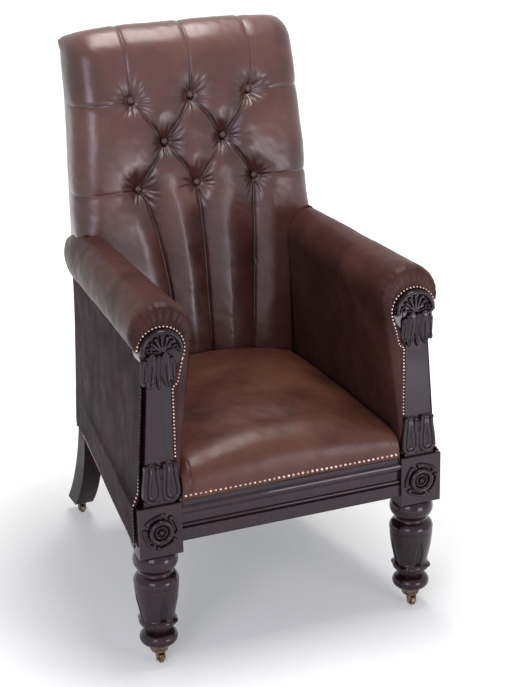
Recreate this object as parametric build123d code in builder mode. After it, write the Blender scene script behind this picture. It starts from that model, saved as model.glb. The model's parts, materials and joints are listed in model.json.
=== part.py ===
# Library armchair: show-wood front legs and rail, sabre rear legs, sprung leather seat, rolled
# leather arms, and a buttoned back, on four brass casters.
# The chair faces -Y and +Z is up. The origin is on the floor, in the middle of the chair.
# Depths are measured back from the front faces of the leg blocks. "left" is -X, "right" is +X.
from math import asin, cos, hypot, pi, radians, sin, sqrt
import os

from build123d import *

os.makedirs("parts", exist_ok=True)

# Overall
front_width = 630.0
back_reach = 776.0
carving_relief = 9.0
top_height = 1138.0
front_y = -(back_reach - carving_relief) / 2
cut_over = 5.0
soft_gap = 0.4
leather = 2.5

# Front leg and its block
block_width = 86.0
block_depth = 80.0
block_bottom = 241.0
block_height = 103.0
block_edge = 1.5
leg_foot_r = 21.0
leg_tip_r = 14.0
low_ring_r = 37.0
low_ring_bottom = 42.0
low_ring_height = 27.0
low_neck_r = 24.5
petal_tip_r = 37.0
petal_tip_height = 91.0
petal_lip = 9.0
vase_waist_r = 28.5
vase_r = 43.5
vase_shoulder_drop = 18.0
vase_top_r = 35.0
upper_neck_r = 31.5
upper_neck_height = 11.0
upper_ring_r = 43.5
upper_ring_height = 38.0
roundel_r = 38.0
roundel_base = 3.0
roundel_rim = 5.0
roundel_ring_r = 19.0
roundel_ring_width = 6.0
roundel_boss_r = 8.0

# Seat rails
rail_lift = 23.0
front_rail_set_back = 6.0
front_rail_depth = 40.0
front_fascia_height = 9.0
front_reed_height = 18.0
front_reed_relief = 4.0
front_cove_height = 20.0
front_cove_set_back = 4.0
front_bead_height = 7.0
front_groove_height = 3.0
front_groove_depth = 5.0
side_rail_thickness = 28.0
rail_skin_gap = 0.5
rear_rail_thickness = 26.0
rear_rail_back = 632.0
tenon_thickness = 12.0
tenon_length = 24.0
tenon_shoulder = 14.0
front_brace_leg = 34.0
rear_brace_run = 56.0
rear_brace_side = 44.0

# Rear leg: the stile is upright above the bend and the leg sweeps back below it
rear_width = 456.0
rear_leg_width = 42.0
stile_front = 546.0
stile_thickness = 52.0
stile_drop = 43.0
stile_bend_drop = 26.0
knee_height = 235.0
knee_back = 664.0
knee_thickness = 44.0
shin_height = 140.0
shin_back = 701.0
shin_thickness = 55.0
thigh_height = 430.0
thigh_back = 620.0
thigh_thickness = 47.0
foot_bottom = 30.0
foot_length = 50.0
foot_edge = 4.0

# Arm facing and its carvings
facing_set_back = 6.0
facing_thickness = 36.0
facing_inset = 76.0
facing_foot_width = 62.0
facing_top_width = 44.5
facing_neck_drop = 46.0
fan_height = 646.0
fan_inset = 60.0
fan_r = 42.0
fan_rim = 6.0
fan_plate = 5.0
fan_relief = 12.0
fan_boss_r = 10.0
fan_ribs = 7
fan_rib_width = 4.0
capital_inset = 53.0
capital_height = 69.0
capital_drop = 1.0
capital_half_width = 33.0
capital_relief = 13.0
capital_scroll_r = 9.0
capital_scroll_spread = 15.0
leaf_lift = 5.5
leaf_height = 80.0
leaf_width = 75.0
leaf_outer_inset = 11.0
leaf_top_inset = 6.0
leaf_relief = 9.0
leaf_slot = 9.0
leaf_lobe_height = 16.0
leaf_bud_r = 7.0

# Arm rail and padded arm
arm_rail_drop = 20.0
arm_rail_height = 36.0
arm_rail_width = 24.0
arm_rail_back_inset = 15.5
arm_rail_run_on = 20.0
roll_front = 7.0
roll_full = 30.0
roll_back = 480.0
roll_tail = 100.0
roll_inset = 65.0
roll_back_overhang = 9.0
roll_over_fan = 24.0
roll_climb = 11.0
roll_half_width_front = 62.0
roll_half_width_back = 48.0
roll_rise_front = 63.5
roll_rise_back = 60.0
roll_nose_inset = 9.0
roll_nose_turn = 30.0
roll_tail_shrink = 14.0
roll_tail_drop = 12.0
roll_seam_share = 0.5
slab_inset_share = 0.4
arm_pad_lift = 8.0
arm_inner_inset = 85.0
arm_inner_back_inset = 30.0
arm_web_gap = 2.3
slab_back = 543.2

# Seat
webbing_thickness = 2.0
webbing_width = 50.0
seat_straps_across = 4
seat_straps_along = 4
seat_strap_pitch_x = 90.0
seat_strap_pitch_y = 130.0
dust_cover_thickness = 1.5
dust_cover_edge = 3.0
hessian_thickness = 1.5
hessian_edge = 4.0
spring_r = 34.0
spring_waist_r = 20.0
springs_across = 3
springs_along = 3
spring_pitch_x = 110.0
spring_pitch_y = 150.0
seat_front = 5.0
seat_nose = 14.0
seat_nose_inset = 6.0
seat_middle = 210.0
seat_back = 428.0
seat_rise_front = 52.0
seat_rise_nose = 58.0
seat_rise_middle = 70.0
seat_rise_back = 80.0
seat_crown_nose = 5.0
seat_crown_middle = 40.0
seat_crown_back = 34.0
seat_stuffing_height = 34.0
seat_stuffing_inset = 30.0

# Back
back_lift = 8.0
back_crest_low = 431.0
back_crest_row3 = 449.0
back_crest_row2 = 459.0
back_crest_row1 = 470.0
back_crest_top = 494.0
top_to_row1_height = 142.0
row1_to_row2_height = 87.0
row2_to_row3_height = 90.0
top_roll_height_drop = 53.0
button_side_width = 125.0
tuft_depth = 25.0
channel_depth = 22.0
top_pleat_depth = 7.0
tuft_swell = 6.0
back_overhang_low = 24.0
back_overhang_row1 = 9.0
back_side_bulge = 5.0
back_gap_overhang = 1.6
back_face_margin = 3.0
back_side_depth = 578.0
back_corner_drop = 20.0
back_corner_round = 16.0
rear_lap = 6.0
arm_level_rise = 118.0
button_r = 8.0
button_height = 5.0
button_pocket_gap = 0.5
crest_rail_height = 55.0
back_rail_thickness = 34.0
lower_back_rail_height = 50.0
back_straps_up = 3
back_straps_across = 4

# Side and back leather panels
panel_set_back = 16.0
panel_overlap = 2.0
panel_waist_lift = 28.0
panel_waist_inset = 12.0
panel_top_inset = 31.0
panel_rear_fullness = 1.0
panel_top_gap = 1.0
outside_back_overlap = 14.0

# Nails
seat_nail_r = 3.2
seat_nail_pitch = 10.0
seat_nail_lift = 10.0
arm_nail_r = 2.3
arm_nail_pitch = 7.0
nail_edge = 3.5

# Casters
wheel_r = 10.0
wheel_width = 9.0
wheel_tread = 1.5
axle_r = 1.8
axle_clearance = 0.06
wheel_side_gap = 0.6
fork_ear = 3.0
fork_bridge = 3.0
fork_wheel_gap = 1.5
caster_trail = 6.0
caster_pin_r = 3.5
caster_pin_length = 12.0
pin_clearance = 0.06
bridge_gap = 0.5
cup_height = 16.5
cup_wall = 2.0
cup_floor = 2.0
plate_r = 17.0

# Share of a quarter arc's size reached at its middle
diagonal_share = sqrt(2) / 2

# Worked-out places
half_front = front_width / 2
block_inner_x = half_front - block_width
block_top = block_bottom + block_height
leg_x = half_front - block_width / 2
leg_y = front_y + block_depth / 2
rear_leg_outer_x = rear_width / 2
rear_leg_inner_x = rear_leg_outer_x - rear_leg_width
rear_leg_x = rear_leg_outer_x - rear_leg_width / 2
stile_back = stile_front + stile_thickness
foot_middle = back_reach - foot_length / 2
outside_back_y = stile_back + leather
panel_back_reach = knee_back
fork_top = 2 * wheel_r + fork_wheel_gap + fork_bridge
cup_bottom = fork_top + bridge_gap
cup_inside = cup_bottom + cup_floor
rail_bottom = block_bottom + rail_lift
rail_inside_y = front_y + front_rail_set_back + front_rail_depth
rear_inside_y = front_y + rear_rail_back - rear_rail_thickness
seat_bottom = block_top + hessian_thickness
seat_nail_height = block_top + seat_nail_lift

# Worked-out heights of the front leg, from its block down
upper_ring_bottom = block_bottom - upper_ring_height
vase_top_height = upper_ring_bottom - upper_neck_height
vase_shoulder_height = vase_top_height - vase_shoulder_drop

# Worked-out places of the arms, which follow the fan's height and the width of the chair
facing_inner_x = half_front - facing_inset
facing_neck_height = fan_height - facing_neck_drop
fan_x = half_front - fan_inset
capital_top = fan_height - capital_drop
capital_bottom = capital_top - capital_height
capital_x = half_front - capital_inset
leaf_bottom = block_top + leaf_lift
leaf_top = leaf_bottom + leaf_height
leaf_outer_x = half_front - leaf_outer_inset
leaf_inner_x = leaf_outer_x - leaf_width
arm_rail_top = fan_height - arm_rail_drop
arm_rail_bottom = arm_rail_top - arm_rail_height
arm_rail_back_x = rear_leg_outer_x - arm_rail_back_inset
roll_x_front = half_front - roll_inset
roll_x_back = rear_leg_outer_x + roll_back_overhang
roll_height_front = fan_height + roll_over_fan
roll_height_back = roll_height_front + roll_climb
arm_pad_bottom = block_top + arm_pad_lift
arm_inner_x_front = half_front - arm_inner_inset
arm_inner_x_back = rear_leg_outer_x - arm_inner_back_inset
panel_bottom = rail_bottom - panel_overlap
panel_waist_height = block_top + panel_waist_lift
panel_waist_x = half_front - panel_waist_inset
panel_top_x_front = half_front - panel_top_inset

# Worked-out places of the back, which follow the top, the arms and the rear legs
stile_top = top_height - stile_drop
stile_bend = arm_rail_top - stile_bend_drop
lower_back_rail_bottom = arm_rail_bottom - lower_back_rail_height
outside_back_bottom = rail_bottom - outside_back_overlap
top_roll_height = top_height - top_roll_height_drop
row1_height = top_height - top_to_row1_height
row2_height = row1_height - row1_to_row2_height
row3_height = row2_height - row2_to_row3_height
back_bottom = block_top + back_lift
arm_level = arm_rail_top + arm_level_rise
back_half_width_low = rear_leg_outer_x + back_overhang_low
back_half_width_row1 = rear_leg_outer_x + back_overhang_row1
back_half_width_top = rear_leg_outer_x
back_gap_half_width = arm_inner_x_back + back_gap_overhang
button_pitch = back_half_width_low - button_side_width


def at_depth(depth):
    # Upright plane facing the front, at a depth behind the block faces
    return Plane.XZ.offset(-(front_y + depth))


def share_between(low, high, share):
    return low + (high - low) * share


def panel_share(depth):
    # How far back a depth lies along the outside-arm panel
    return (depth - panel_set_back) / (panel_back_reach - panel_set_back)


def panel_x(depth):
    # Inner face of the outside-arm panel, which narrows towards the rear leg
    return share_between(half_front, rear_leg_outer_x, panel_share(depth))


def panel_top_x(depth):
    # The same face at the top of the panel, under the roll of the arm
    return share_between(panel_top_x_front, rear_leg_outer_x, panel_share(depth))


def arm_rail_x(depth):
    # Inner face of the arm rail, from the facing to the stile
    facing_back = facing_set_back + facing_thickness
    share = (depth - facing_back) / (stile_front - facing_back)
    return share_between(facing_inner_x, arm_rail_back_x, share)


def along_arm(front_value, back_value, depth):
    return share_between(front_value, back_value, (depth - roll_front) / (roll_back - roll_front))


def arm_face_x(depth, height):
    # Inner face of the padded arm, which leans in from its foot to the roll
    foot_x = along_arm(arm_inner_x_front, arm_inner_x_back, depth)
    roll_x = along_arm(roll_x_front, roll_x_back, depth)
    roll_x -= along_arm(roll_half_width_front, roll_half_width_back, depth)
    roll_height = along_arm(roll_height_front, roll_height_back, depth)
    share = (height - arm_pad_bottom) / (roll_height - arm_pad_bottom)
    return share_between(foot_x, roll_x, share)


def keep(builder, name):
    builder.part.label = name
    export_step(builder.part, f"parts/{name}.step")


def keep_pair(right, name):
    keep(right, f"{name}_right")
    with BuildPart() as left:
        mirror(right.part, about=Plane.YZ)
    keep(left, f"{name}_left")


def rear_line(skin=0.0):
    # Back edge of the stile and sabre leg, from the top down to the foot
    with BuildLine() as line:
        Line((front_y + stile_back + skin, stile_top), (front_y + stile_back + skin, stile_bend))
        ThreePointArc(
            (front_y + stile_back + skin, stile_bend),
            (front_y + thigh_back + skin, thigh_height),
            (front_y + knee_back + skin, knee_height),
        )
        ThreePointArc(
            (front_y + knee_back + skin, knee_height),
            (front_y + shin_back + skin, shin_height),
            (front_y + back_reach + skin, foot_bottom + foot_edge),
        )
    return line.line


def rear_leg_outline(skin=0.0):
    # Side view of the stile and the sabre leg; skin grows it on the back only
    with BuildSketch() as side_view:
        with BuildLine():
            add(rear_line(skin))
            Polyline(
                (front_y + back_reach + skin, foot_bottom + foot_edge),
                (front_y + back_reach + skin, foot_bottom),
                (front_y + back_reach - foot_length, foot_bottom),
            )
            ThreePointArc(
                (front_y + back_reach - foot_length, foot_bottom),
                (front_y + shin_back - shin_thickness, shin_height),
                (front_y + knee_back - knee_thickness, knee_height),
            )
            ThreePointArc(
                (front_y + knee_back - knee_thickness, knee_height),
                (front_y + thigh_back - thigh_thickness, thigh_height),
                (front_y + stile_front, stile_bend),
            )
            Polyline(
                (front_y + stile_front, stile_bend),
                (front_y + stile_front, stile_top),
                (front_y + stile_back + skin, stile_top),
            )
        make_face()
    return side_view.sketch_local


def behind_leg():
    # Side view of everything behind the stile and the sabre leg
    with BuildSketch() as side_view:
        with BuildLine():
            add(rear_line())
            Polyline(
                (front_y + back_reach, foot_bottom + foot_edge),
                (back_reach, foot_bottom + foot_edge),
                (back_reach, stile_top),
                (front_y + stile_back, stile_top),
            )
        make_face()
    return side_view.sketch_local


# Front legs: turned foot, carved vase and rings under a square block
with BuildPart() as front_leg:
    with BuildSketch(Plane((leg_x, leg_y, 0), x_dir=(1, 0, 0), z_dir=(0, -1, 0))) as turning:
        with BuildLine() as half_section:
            low_ring_top = low_ring_bottom + low_ring_height
            Polyline((0, cup_inside), (leg_tip_r, cup_inside), (leg_foot_r, low_ring_bottom))
            ThreePointArc(
                (leg_foot_r, low_ring_bottom),
                (low_ring_r, low_ring_bottom + low_ring_height / 2),
                (low_neck_r, low_ring_top),
            )
            lip_bottom = petal_tip_height - petal_lip
            Line((low_neck_r, low_ring_top), (vase_waist_r, lip_bottom))
            ThreePointArc(
                (vase_waist_r, lip_bottom),
                (petal_tip_r, petal_tip_height),
                (vase_waist_r, petal_tip_height + petal_lip),
            )
            Line((vase_waist_r, petal_tip_height + petal_lip), (vase_r, vase_shoulder_height))
            ThreePointArc(
                (vase_r, vase_shoulder_height),
                (
                    share_between(vase_top_r, vase_r, diagonal_share),
                    share_between(vase_shoulder_height, vase_top_height, diagonal_share),
                ),
                (vase_top_r, vase_top_height),
            )
            ThreePointArc(
                (vase_top_r, vase_top_height),
                (upper_neck_r, (vase_top_height + upper_ring_bottom) / 2),
                (vase_top_r, upper_ring_bottom),
            )
            ThreePointArc(
                (vase_top_r, upper_ring_bottom),
                (upper_ring_r, (upper_ring_bottom + block_bottom) / 2),
                (vase_top_r, block_bottom),
            )
            Polyline((vase_top_r, block_bottom), (0, block_bottom), (0, cup_inside))
        make_face()
    revolve(axis=Axis((leg_x, leg_y, 0), (0, 0, 1)))
    with BuildSketch(Plane.XY.offset(block_bottom)) as block_plan:
        with BuildLine():
            Polyline(
                (block_inner_x, front_y),
                (half_front, front_y),
                (half_front, front_y + panel_set_back),
                (panel_x(block_depth), front_y + block_depth),
                (block_inner_x, front_y + block_depth),
                close=True,
            )
        make_face()
    extrude(amount=block_height)
    chamfer(front_leg.edges().filter_by(Axis.X).group_by(Axis.Y)[0], block_edge)
    # mortise for the tenon of the front rail
    with BuildSketch(Plane.YZ.offset(block_inner_x - cut_over)) as mortise:
        with Locations((
            front_y + front_rail_set_back + front_rail_depth / 2,
            (rail_bottom + block_top) / 2,
        )):
            Rectangle(tenon_thickness, block_top - rail_bottom - 2 * tenon_shoulder)
    extrude(amount=cut_over + tenon_length, mode=Mode.SUBTRACT)
    with BuildSketch(Plane.XY.offset(cup_inside)) as leg_pin_socket:
        with Locations((leg_x, leg_y)):
            Circle(caster_pin_r + pin_clearance)
    extrude(amount=caster_pin_length, mode=Mode.SUBTRACT)
keep_pair(front_leg, "front_leg")

# Roundels on the front faces of the blocks
with BuildPart() as roundel:
    middle_z = block_bottom + block_height / 2
    with BuildSketch(Plane.XY.offset(middle_z)) as roundel_section:
        with BuildLine():
            rim_in = roundel_r - roundel_rim
            ring_in = roundel_ring_r - roundel_ring_width
            base_y = front_y - roundel_base
            Polyline((leg_x, front_y), (leg_x + roundel_r, front_y), (leg_x + roundel_r, base_y))
            ThreePointArc(
                (leg_x + roundel_r, base_y),
                (leg_x + roundel_r - roundel_rim / 2, base_y - roundel_rim / 2),
                (leg_x + rim_in, base_y),
            )
            ring_side_y = front_y - carving_relief + roundel_ring_width / 2
            Polyline(
                (leg_x + rim_in, base_y),
                (leg_x + roundel_ring_r, base_y),
                (leg_x + roundel_ring_r, ring_side_y),
            )
            ThreePointArc(
                (leg_x + roundel_ring_r, ring_side_y),
                (leg_x + roundel_ring_r - roundel_ring_width / 2, front_y - carving_relief),
                (leg_x + ring_in, ring_side_y),
            )
            Polyline(
                (leg_x + ring_in, ring_side_y),
                (leg_x + ring_in, base_y),
                (leg_x + roundel_boss_r, base_y),
            )
            TangentArc(
                (leg_x, front_y - carving_relief),
                (leg_x + roundel_boss_r, base_y),
                tangent=(1, 0),
            )
            Line((leg_x, front_y - carving_relief), (leg_x, front_y))
        make_face()
    revolve(axis=Axis((leg_x, front_y, middle_z), (0, 1, 0)))
keep_pair(roundel, "roundel")

# Front rail: fascia, large reed, cove, bead and groove, with a tenon at each end
with BuildPart() as front_rail:
    with BuildSketch(Plane.YZ) as rail_section:
        face = front_y + front_rail_set_back
        reed_top = block_top - front_fascia_height
        reed_bottom = reed_top - front_reed_height
        cove_bottom = reed_bottom - front_cove_height
        bead_bottom = cove_bottom - front_bead_height
        groove_bottom = bead_bottom - front_groove_height
        cove_face = face + front_cove_set_back
        with BuildLine():
            Polyline(
                (face, reed_top),
                (face, block_top),
                (face + front_rail_depth, block_top),
                (face + front_rail_depth, rail_bottom),
                (face, rail_bottom),
                (face, groove_bottom),
                (face + front_groove_depth, groove_bottom),
                (face + front_groove_depth, bead_bottom),
                (cove_face, bead_bottom),
            )
            ThreePointArc(
                (cove_face, bead_bottom),
                (face, (bead_bottom + cove_bottom) / 2),
                (cove_face, cove_bottom),
            )
            Polyline((cove_face, cove_bottom), (cove_face, reed_bottom), (face, reed_bottom))
            ThreePointArc(
                (face, reed_bottom),
                (face - front_reed_relief, (reed_bottom + reed_top) / 2),
                (face, reed_top),
            )
        make_face()
    extrude(amount=block_inner_x, both=True)
    with Locations((0, face + front_rail_depth / 2, (rail_bottom + block_top) / 2)):
        Box(
            2 * (block_inner_x + tenon_length),
            tenon_thickness,
            block_top - rail_bottom - 2 * tenon_shoulder,
        )
keep(front_rail, "front_rail")

# Rear legs with their stiles
with BuildPart() as rear_leg:
    with BuildSketch(Plane.YZ.offset(rear_leg_inner_x)) as leg_side:
        add(rear_leg_outline())
    extrude(amount=rear_leg_width)
    with BuildSketch(Plane.XY.offset(foot_bottom)) as pin_socket:
        with Locations((rear_leg_x, front_y + foot_middle)):
            Circle(caster_pin_r + pin_clearance)
    extrude(amount=caster_pin_length, mode=Mode.SUBTRACT)
keep_pair(rear_leg, "rear_leg")

# Side rails: from the back of the block to the front of the rear leg
with BuildPart() as side_rail:
    with BuildSketch(Plane.XY.offset(rail_bottom)) as side_rail_plan:
        with BuildLine():
            rail_outer = panel_x(block_depth) - rail_skin_gap
            Polyline(
                (rail_outer, front_y + block_depth),
                (rear_leg_outer_x, front_y + rear_rail_back),
                (rear_leg_outer_x - side_rail_thickness, front_y + rear_rail_back),
                (rail_outer - side_rail_thickness, front_y + block_depth),
                close=True,
            )
        make_face()
    extrude(amount=block_top - rail_bottom)
    with BuildSketch(Plane.YZ.offset(block_inner_x - front_width)) as leg_trim:
        add(rear_leg_outline())
    extrude(amount=2 * front_width, mode=Mode.SUBTRACT)
keep_pair(side_rail, "side_rail")

# Rear rail between the rear legs
with BuildPart() as rear_rail:
    with Locations((
        0,
        front_y + rear_rail_back - rear_rail_thickness / 2,
        (rail_bottom + block_top) / 2,
    )):
        Box(2 * rear_leg_inner_x, rear_rail_thickness, block_top - rail_bottom)
keep(rear_rail, "rear_rail")

# Corner blocks: triangles glued inside the frame
with BuildPart() as corner_blocks:
    with BuildSketch(Plane.XY.offset(rail_bottom)) as braces:
        with BuildLine():
            Polyline(
                (block_inner_x, rail_inside_y),
                (block_inner_x - front_brace_leg, rail_inside_y),
                (block_inner_x, front_y + block_depth),
                close=True,
            )
        make_face()
        with BuildLine():
            Polyline(
                (rear_leg_inner_x, rear_inside_y),
                (rear_leg_inner_x - rear_brace_run, rear_inside_y),
                (rear_leg_inner_x, rear_inside_y - rear_brace_side),
                close=True,
            )
        make_face()
    extrude(amount=block_top - rail_bottom)
    mirror(about=Plane.YZ)
keep(corner_blocks, "corner_blocks")

# Crest rail and lower back rail between the stiles
with BuildPart() as crest_rail:
    with Locations((
        0,
        front_y + stile_front + back_rail_thickness / 2,
        stile_top - crest_rail_height / 2,
    )):
        Box(2 * rear_leg_inner_x, back_rail_thickness, crest_rail_height)
keep(crest_rail, "crest_rail")

with BuildPart() as lower_back_rail:
    with Locations((
        0,
        front_y + stile_front + stile_thickness / 2,
        lower_back_rail_bottom + lower_back_rail_height / 2,
    )):
        Box(2 * rear_leg_inner_x, back_rail_thickness, lower_back_rail_height)
keep(lower_back_rail, "lower_back_rail")

# Arm facings: tapered posts with a round head
with BuildPart() as arm_facing:
    with BuildSketch(at_depth(facing_set_back + facing_thickness)) as facing_front:
        with BuildLine():
            Polyline(
                (facing_inner_x, block_top),
                (facing_inner_x + facing_foot_width, block_top),
                (facing_inner_x + facing_top_width, facing_neck_height),
                (facing_inner_x + facing_top_width, fan_height),
                (facing_inner_x, fan_height),
                close=True,
            )
        make_face()
        with Locations((fan_x, fan_height)):
            Circle(fan_r)
    extrude(amount=facing_thickness)
keep_pair(arm_facing, "arm_facing")

# Fans: an arched rim round radiating ribs, on the head of the facing
with BuildPart() as arm_fan:
    with BuildSketch(at_depth(facing_set_back)) as fan_outline:
        with Locations((fan_x, fan_height)):
            Circle(fan_r)
            Rectangle(2 * fan_r, fan_r, align=(Align.CENTER, Align.MAX), mode=Mode.SUBTRACT)
    extrude(amount=fan_plate)
    with BuildSketch(at_depth(facing_set_back)) as fan_rim_outline:
        with Locations((fan_x, fan_height)):
            Circle(fan_r)
            Circle(fan_r - fan_rim, mode=Mode.SUBTRACT)
            Rectangle(2 * fan_r, fan_r, align=(Align.CENTER, Align.MAX), mode=Mode.SUBTRACT)
    extrude(amount=fan_relief)
    with BuildSketch(at_depth(facing_set_back)) as fan_rib_outline:
        for rib in range(fan_ribs):
            turn = 180 * (rib + 1) / (fan_ribs + 1)
            with Locations(Location((fan_x, fan_height), turn)):
                Rectangle(fan_r - fan_rim, fan_rib_width, align=(Align.MIN, Align.CENTER))
        with Locations((fan_x, fan_height)):
            Circle(fan_boss_r)
            Rectangle(2 * fan_r, fan_r, align=(Align.CENTER, Align.MAX), mode=Mode.SUBTRACT)
    extrude(amount=(fan_relief + fan_plate) / 2)
keep_pair(arm_fan, "arm_fan")

# Leaf capitals: drooping leaves under two scrolls
with BuildPart() as leaf_capital:
    with BuildSketch(at_depth(facing_set_back)) as capital_outline:
        middle = (capital_bottom + capital_top) / 2
        with BuildLine():
            Polyline(
                (capital_x - capital_half_width, capital_top),
                (capital_x + capital_half_width, capital_top),
                (capital_x + capital_half_width, middle),
                (capital_x + capital_half_width / 2, capital_bottom),
                (capital_x, middle),
                (capital_x - capital_half_width / 2, capital_bottom),
                (capital_x - capital_half_width, middle),
                close=True,
            )
        make_face()
    extrude(amount=capital_relief / 2)
    with BuildSketch(at_depth(facing_set_back)) as scroll_outline:
        with Locations(
            (capital_x - capital_scroll_spread, capital_top - capital_scroll_r),
            (capital_x + capital_scroll_spread, capital_top - capital_scroll_r),
        ):
            Circle(capital_scroll_r)
    extrude(amount=capital_relief)
keep_pair(leaf_capital, "leaf_capital")

# Leaf bases: two upright lobes with a slot between them and a bud at its foot
with BuildPart() as leaf_base:
    with BuildSketch(at_depth(facing_set_back)) as leaf_outline:
        leaf_x = (leaf_inner_x + leaf_outer_x) / 2
        lobe_top_in = leaf_inner_x + leaf_top_inset
        lobe_top_out = leaf_outer_x - leaf_top_inset
        lobe_widest = leaf_bottom + leaf_lobe_height
        with BuildLine():
            Line((lobe_top_in, leaf_top), (lobe_top_out, leaf_top))
            Line((lobe_top_out, leaf_top), (leaf_outer_x, lobe_widest))
            ThreePointArc(
                (leaf_outer_x, lobe_widest),
                ((leaf_x + leaf_outer_x) / 2, leaf_bottom),
                (leaf_x, lobe_widest),
            )
            ThreePointArc(
                (leaf_x, lobe_widest),
                ((leaf_x + leaf_inner_x) / 2, leaf_bottom),
                (leaf_inner_x, lobe_widest),
            )
            Line((leaf_inner_x, lobe_widest), (lobe_top_in, leaf_top))
        make_face()
        with Locations((leaf_x, leaf_top)):
            Rectangle(
                leaf_slot,
                leaf_top - lobe_widest - leaf_bud_r,
                align=(Align.CENTER, Align.MAX),
                mode=Mode.SUBTRACT,
            )
    extrude(amount=leaf_relief)
keep_pair(leaf_base, "leaf_base")

# Arm rails: from the back of the facing to the stile
with BuildPart() as arm_rail:
    with BuildSketch(Plane.XY.offset(arm_rail_bottom)) as arm_rail_plan:
        with BuildLine():
            rail_front = facing_set_back + facing_thickness
            rail_end = stile_front + arm_rail_run_on
            Polyline(
                (arm_rail_x(rail_front), front_y + rail_front),
                (arm_rail_x(rail_front) + arm_rail_width, front_y + rail_front),
                (panel_top_x(rail_end) - rail_skin_gap, front_y + rail_end),
                (arm_rail_x(rail_end), front_y + rail_end),
                close=True,
            )
        make_face()
    extrude(amount=arm_rail_height)
    with BuildSketch(Plane.YZ) as stile_trim:
        add(rear_leg_outline())
    extrude(amount=front_width, mode=Mode.SUBTRACT)
keep_pair(arm_rail, "arm_rail")


def low_face_depth(height):
    # Depth of the back's plain face below the buttons
    share = (height - back_bottom) / (row3_height - back_bottom)
    return share_between(back_crest_low, back_crest_row3, share)


def gap_section(height, half_width, front_depth):
    # Plan of the back where it stands between the arms
    with BuildSketch(Plane.XY.offset(height)) as section:
        with BuildLine():
            rear = front_y + stile_back
            Polyline(
                (-half_width, front_y + front_depth),
                (half_width, front_y + front_depth),
                (half_width, rear),
                (-half_width, rear),
                close=True,
            )
        make_face()
    return section.sketch


def wide_section(height, half_width, front_depth):
    # Plan of the back above the arm rails, with bulging sides
    front = front_y + front_depth
    rear = front_y + outside_back_y
    rear_half = rear_leg_outer_x + leather
    middle = (front + rear) / 2
    bulge_x = (half_width + rear_half) / 2 + back_side_bulge
    with BuildSketch(Plane.XY.offset(height)) as section:
        with BuildLine():
            Line((-half_width, front), (half_width, front))
            ThreePointArc((half_width, front), (bulge_x, middle), (rear_half, rear))
            Line((rear_half, rear), (-rear_half, rear))
            ThreePointArc((-rear_half, rear), (-bulge_x, middle), (-half_width, front))
        make_face()
    return section.sketch


def back_front_at(station):
    # Depth of the cushion's face at the rows, for a station counted in half button pitches
    on_row1_and_3 = station % 2 == 0 and station <= 2
    on_row2 = station == 1
    outer = tuft_depth if on_row1_and_3 else 0
    inner = tuft_depth if on_row2 else 0
    channel = channel_depth if on_row1_and_3 else 0
    pleat = top_pleat_depth if on_row1_and_3 else 0
    return (
        back_crest_low + channel,
        back_crest_row3 + outer,
        back_crest_row2 + inner,
        back_crest_row1 + outer,
        back_crest_top + pleat,
    )


def back_section(x, depths, top, set_back):
    low, row3, row2, row1, high = [front_y + depth + set_back for depth in depths]
    roll_start = top_roll_height - (top_height - top)
    rear = front_y + outside_back_y
    inner = front_y + stile_front - soft_gap - webbing_thickness
    crown_y = (high + rear) / 2
    with BuildSketch(Plane.YZ.offset(x)) as section:
        with BuildLine():
            Line((inner, back_bottom), (low, back_bottom))
            Line((low, back_bottom), (row3, row3_height))
            ThreePointArc(
                (row3, row3_height),
                ((row3 + row2) / 2 - tuft_swell, (row3_height + row2_height) / 2),
                (row2, row2_height),
            )
            ThreePointArc(
                (row2, row2_height),
                ((row2 + row1) / 2 - tuft_swell, (row2_height + row1_height) / 2),
                (row1, row1_height),
            )
            ThreePointArc(
                (row1, row1_height),
                ((row1 + high) / 2 - tuft_swell, (row1_height + roll_start) / 2),
                (high, roll_start),
            )
            ThreePointArc(
                (high, roll_start),
                (
                    share_between(crown_y, high, diagonal_share),
                    share_between(roll_start, top, diagonal_share),
                ),
                (crown_y, top),
            )
            ThreePointArc(
                (crown_y, top),
                (
                    share_between(crown_y, rear, diagonal_share),
                    share_between(stile_top + rear_lap, top, diagonal_share),
                ),
                (rear, stile_top + rear_lap),
            )
            Polyline(
                (rear, stile_top + rear_lap),
                (rear, stile_top + soft_gap),
                (front_y + back_side_depth, stile_top + soft_gap),
                (front_y + back_side_depth, arm_rail_top + soft_gap),
                (inner, arm_rail_top + soft_gap),
                (inner, back_bottom),
            )
        make_face()
    return section.sketch


half_pitch = button_pitch / 2
edge_station_x = (back_half_width_low + back_half_width_top) / 2 - back_corner_round / 2
button_places = [
    (place * half_pitch, crest + tuft_depth, height)
    for crest, height, row in (
        (back_crest_row1, row1_height, (-2, 0, 2)),
        (back_crest_row2, row2_height, (-1, 1)),
        (back_crest_row3, row3_height, (-2, 0, 2)),
    )
    for place in row
]

# Plain space that the back may take up: narrow between the arms, wide above them
with BuildPart() as back_space:
    clear_front = back_crest_low - tuft_depth
    shoulder = arm_rail_top + soft_gap
    loft(
        sections=[
            gap_section(back_bottom - cut_over, back_gap_half_width, clear_front),
            gap_section(shoulder, back_gap_half_width, clear_front),
        ],
        ruled=True,
    )
    loft(
        sections=[
            wide_section(shoulder, back_half_width_low, clear_front),
            wide_section(arm_level, back_half_width_low, clear_front),
            wide_section(row1_height, back_half_width_row1, clear_front),
            wide_section(top_height + cut_over, back_half_width_top, clear_front),
        ],
        ruled=True,
    )

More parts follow.
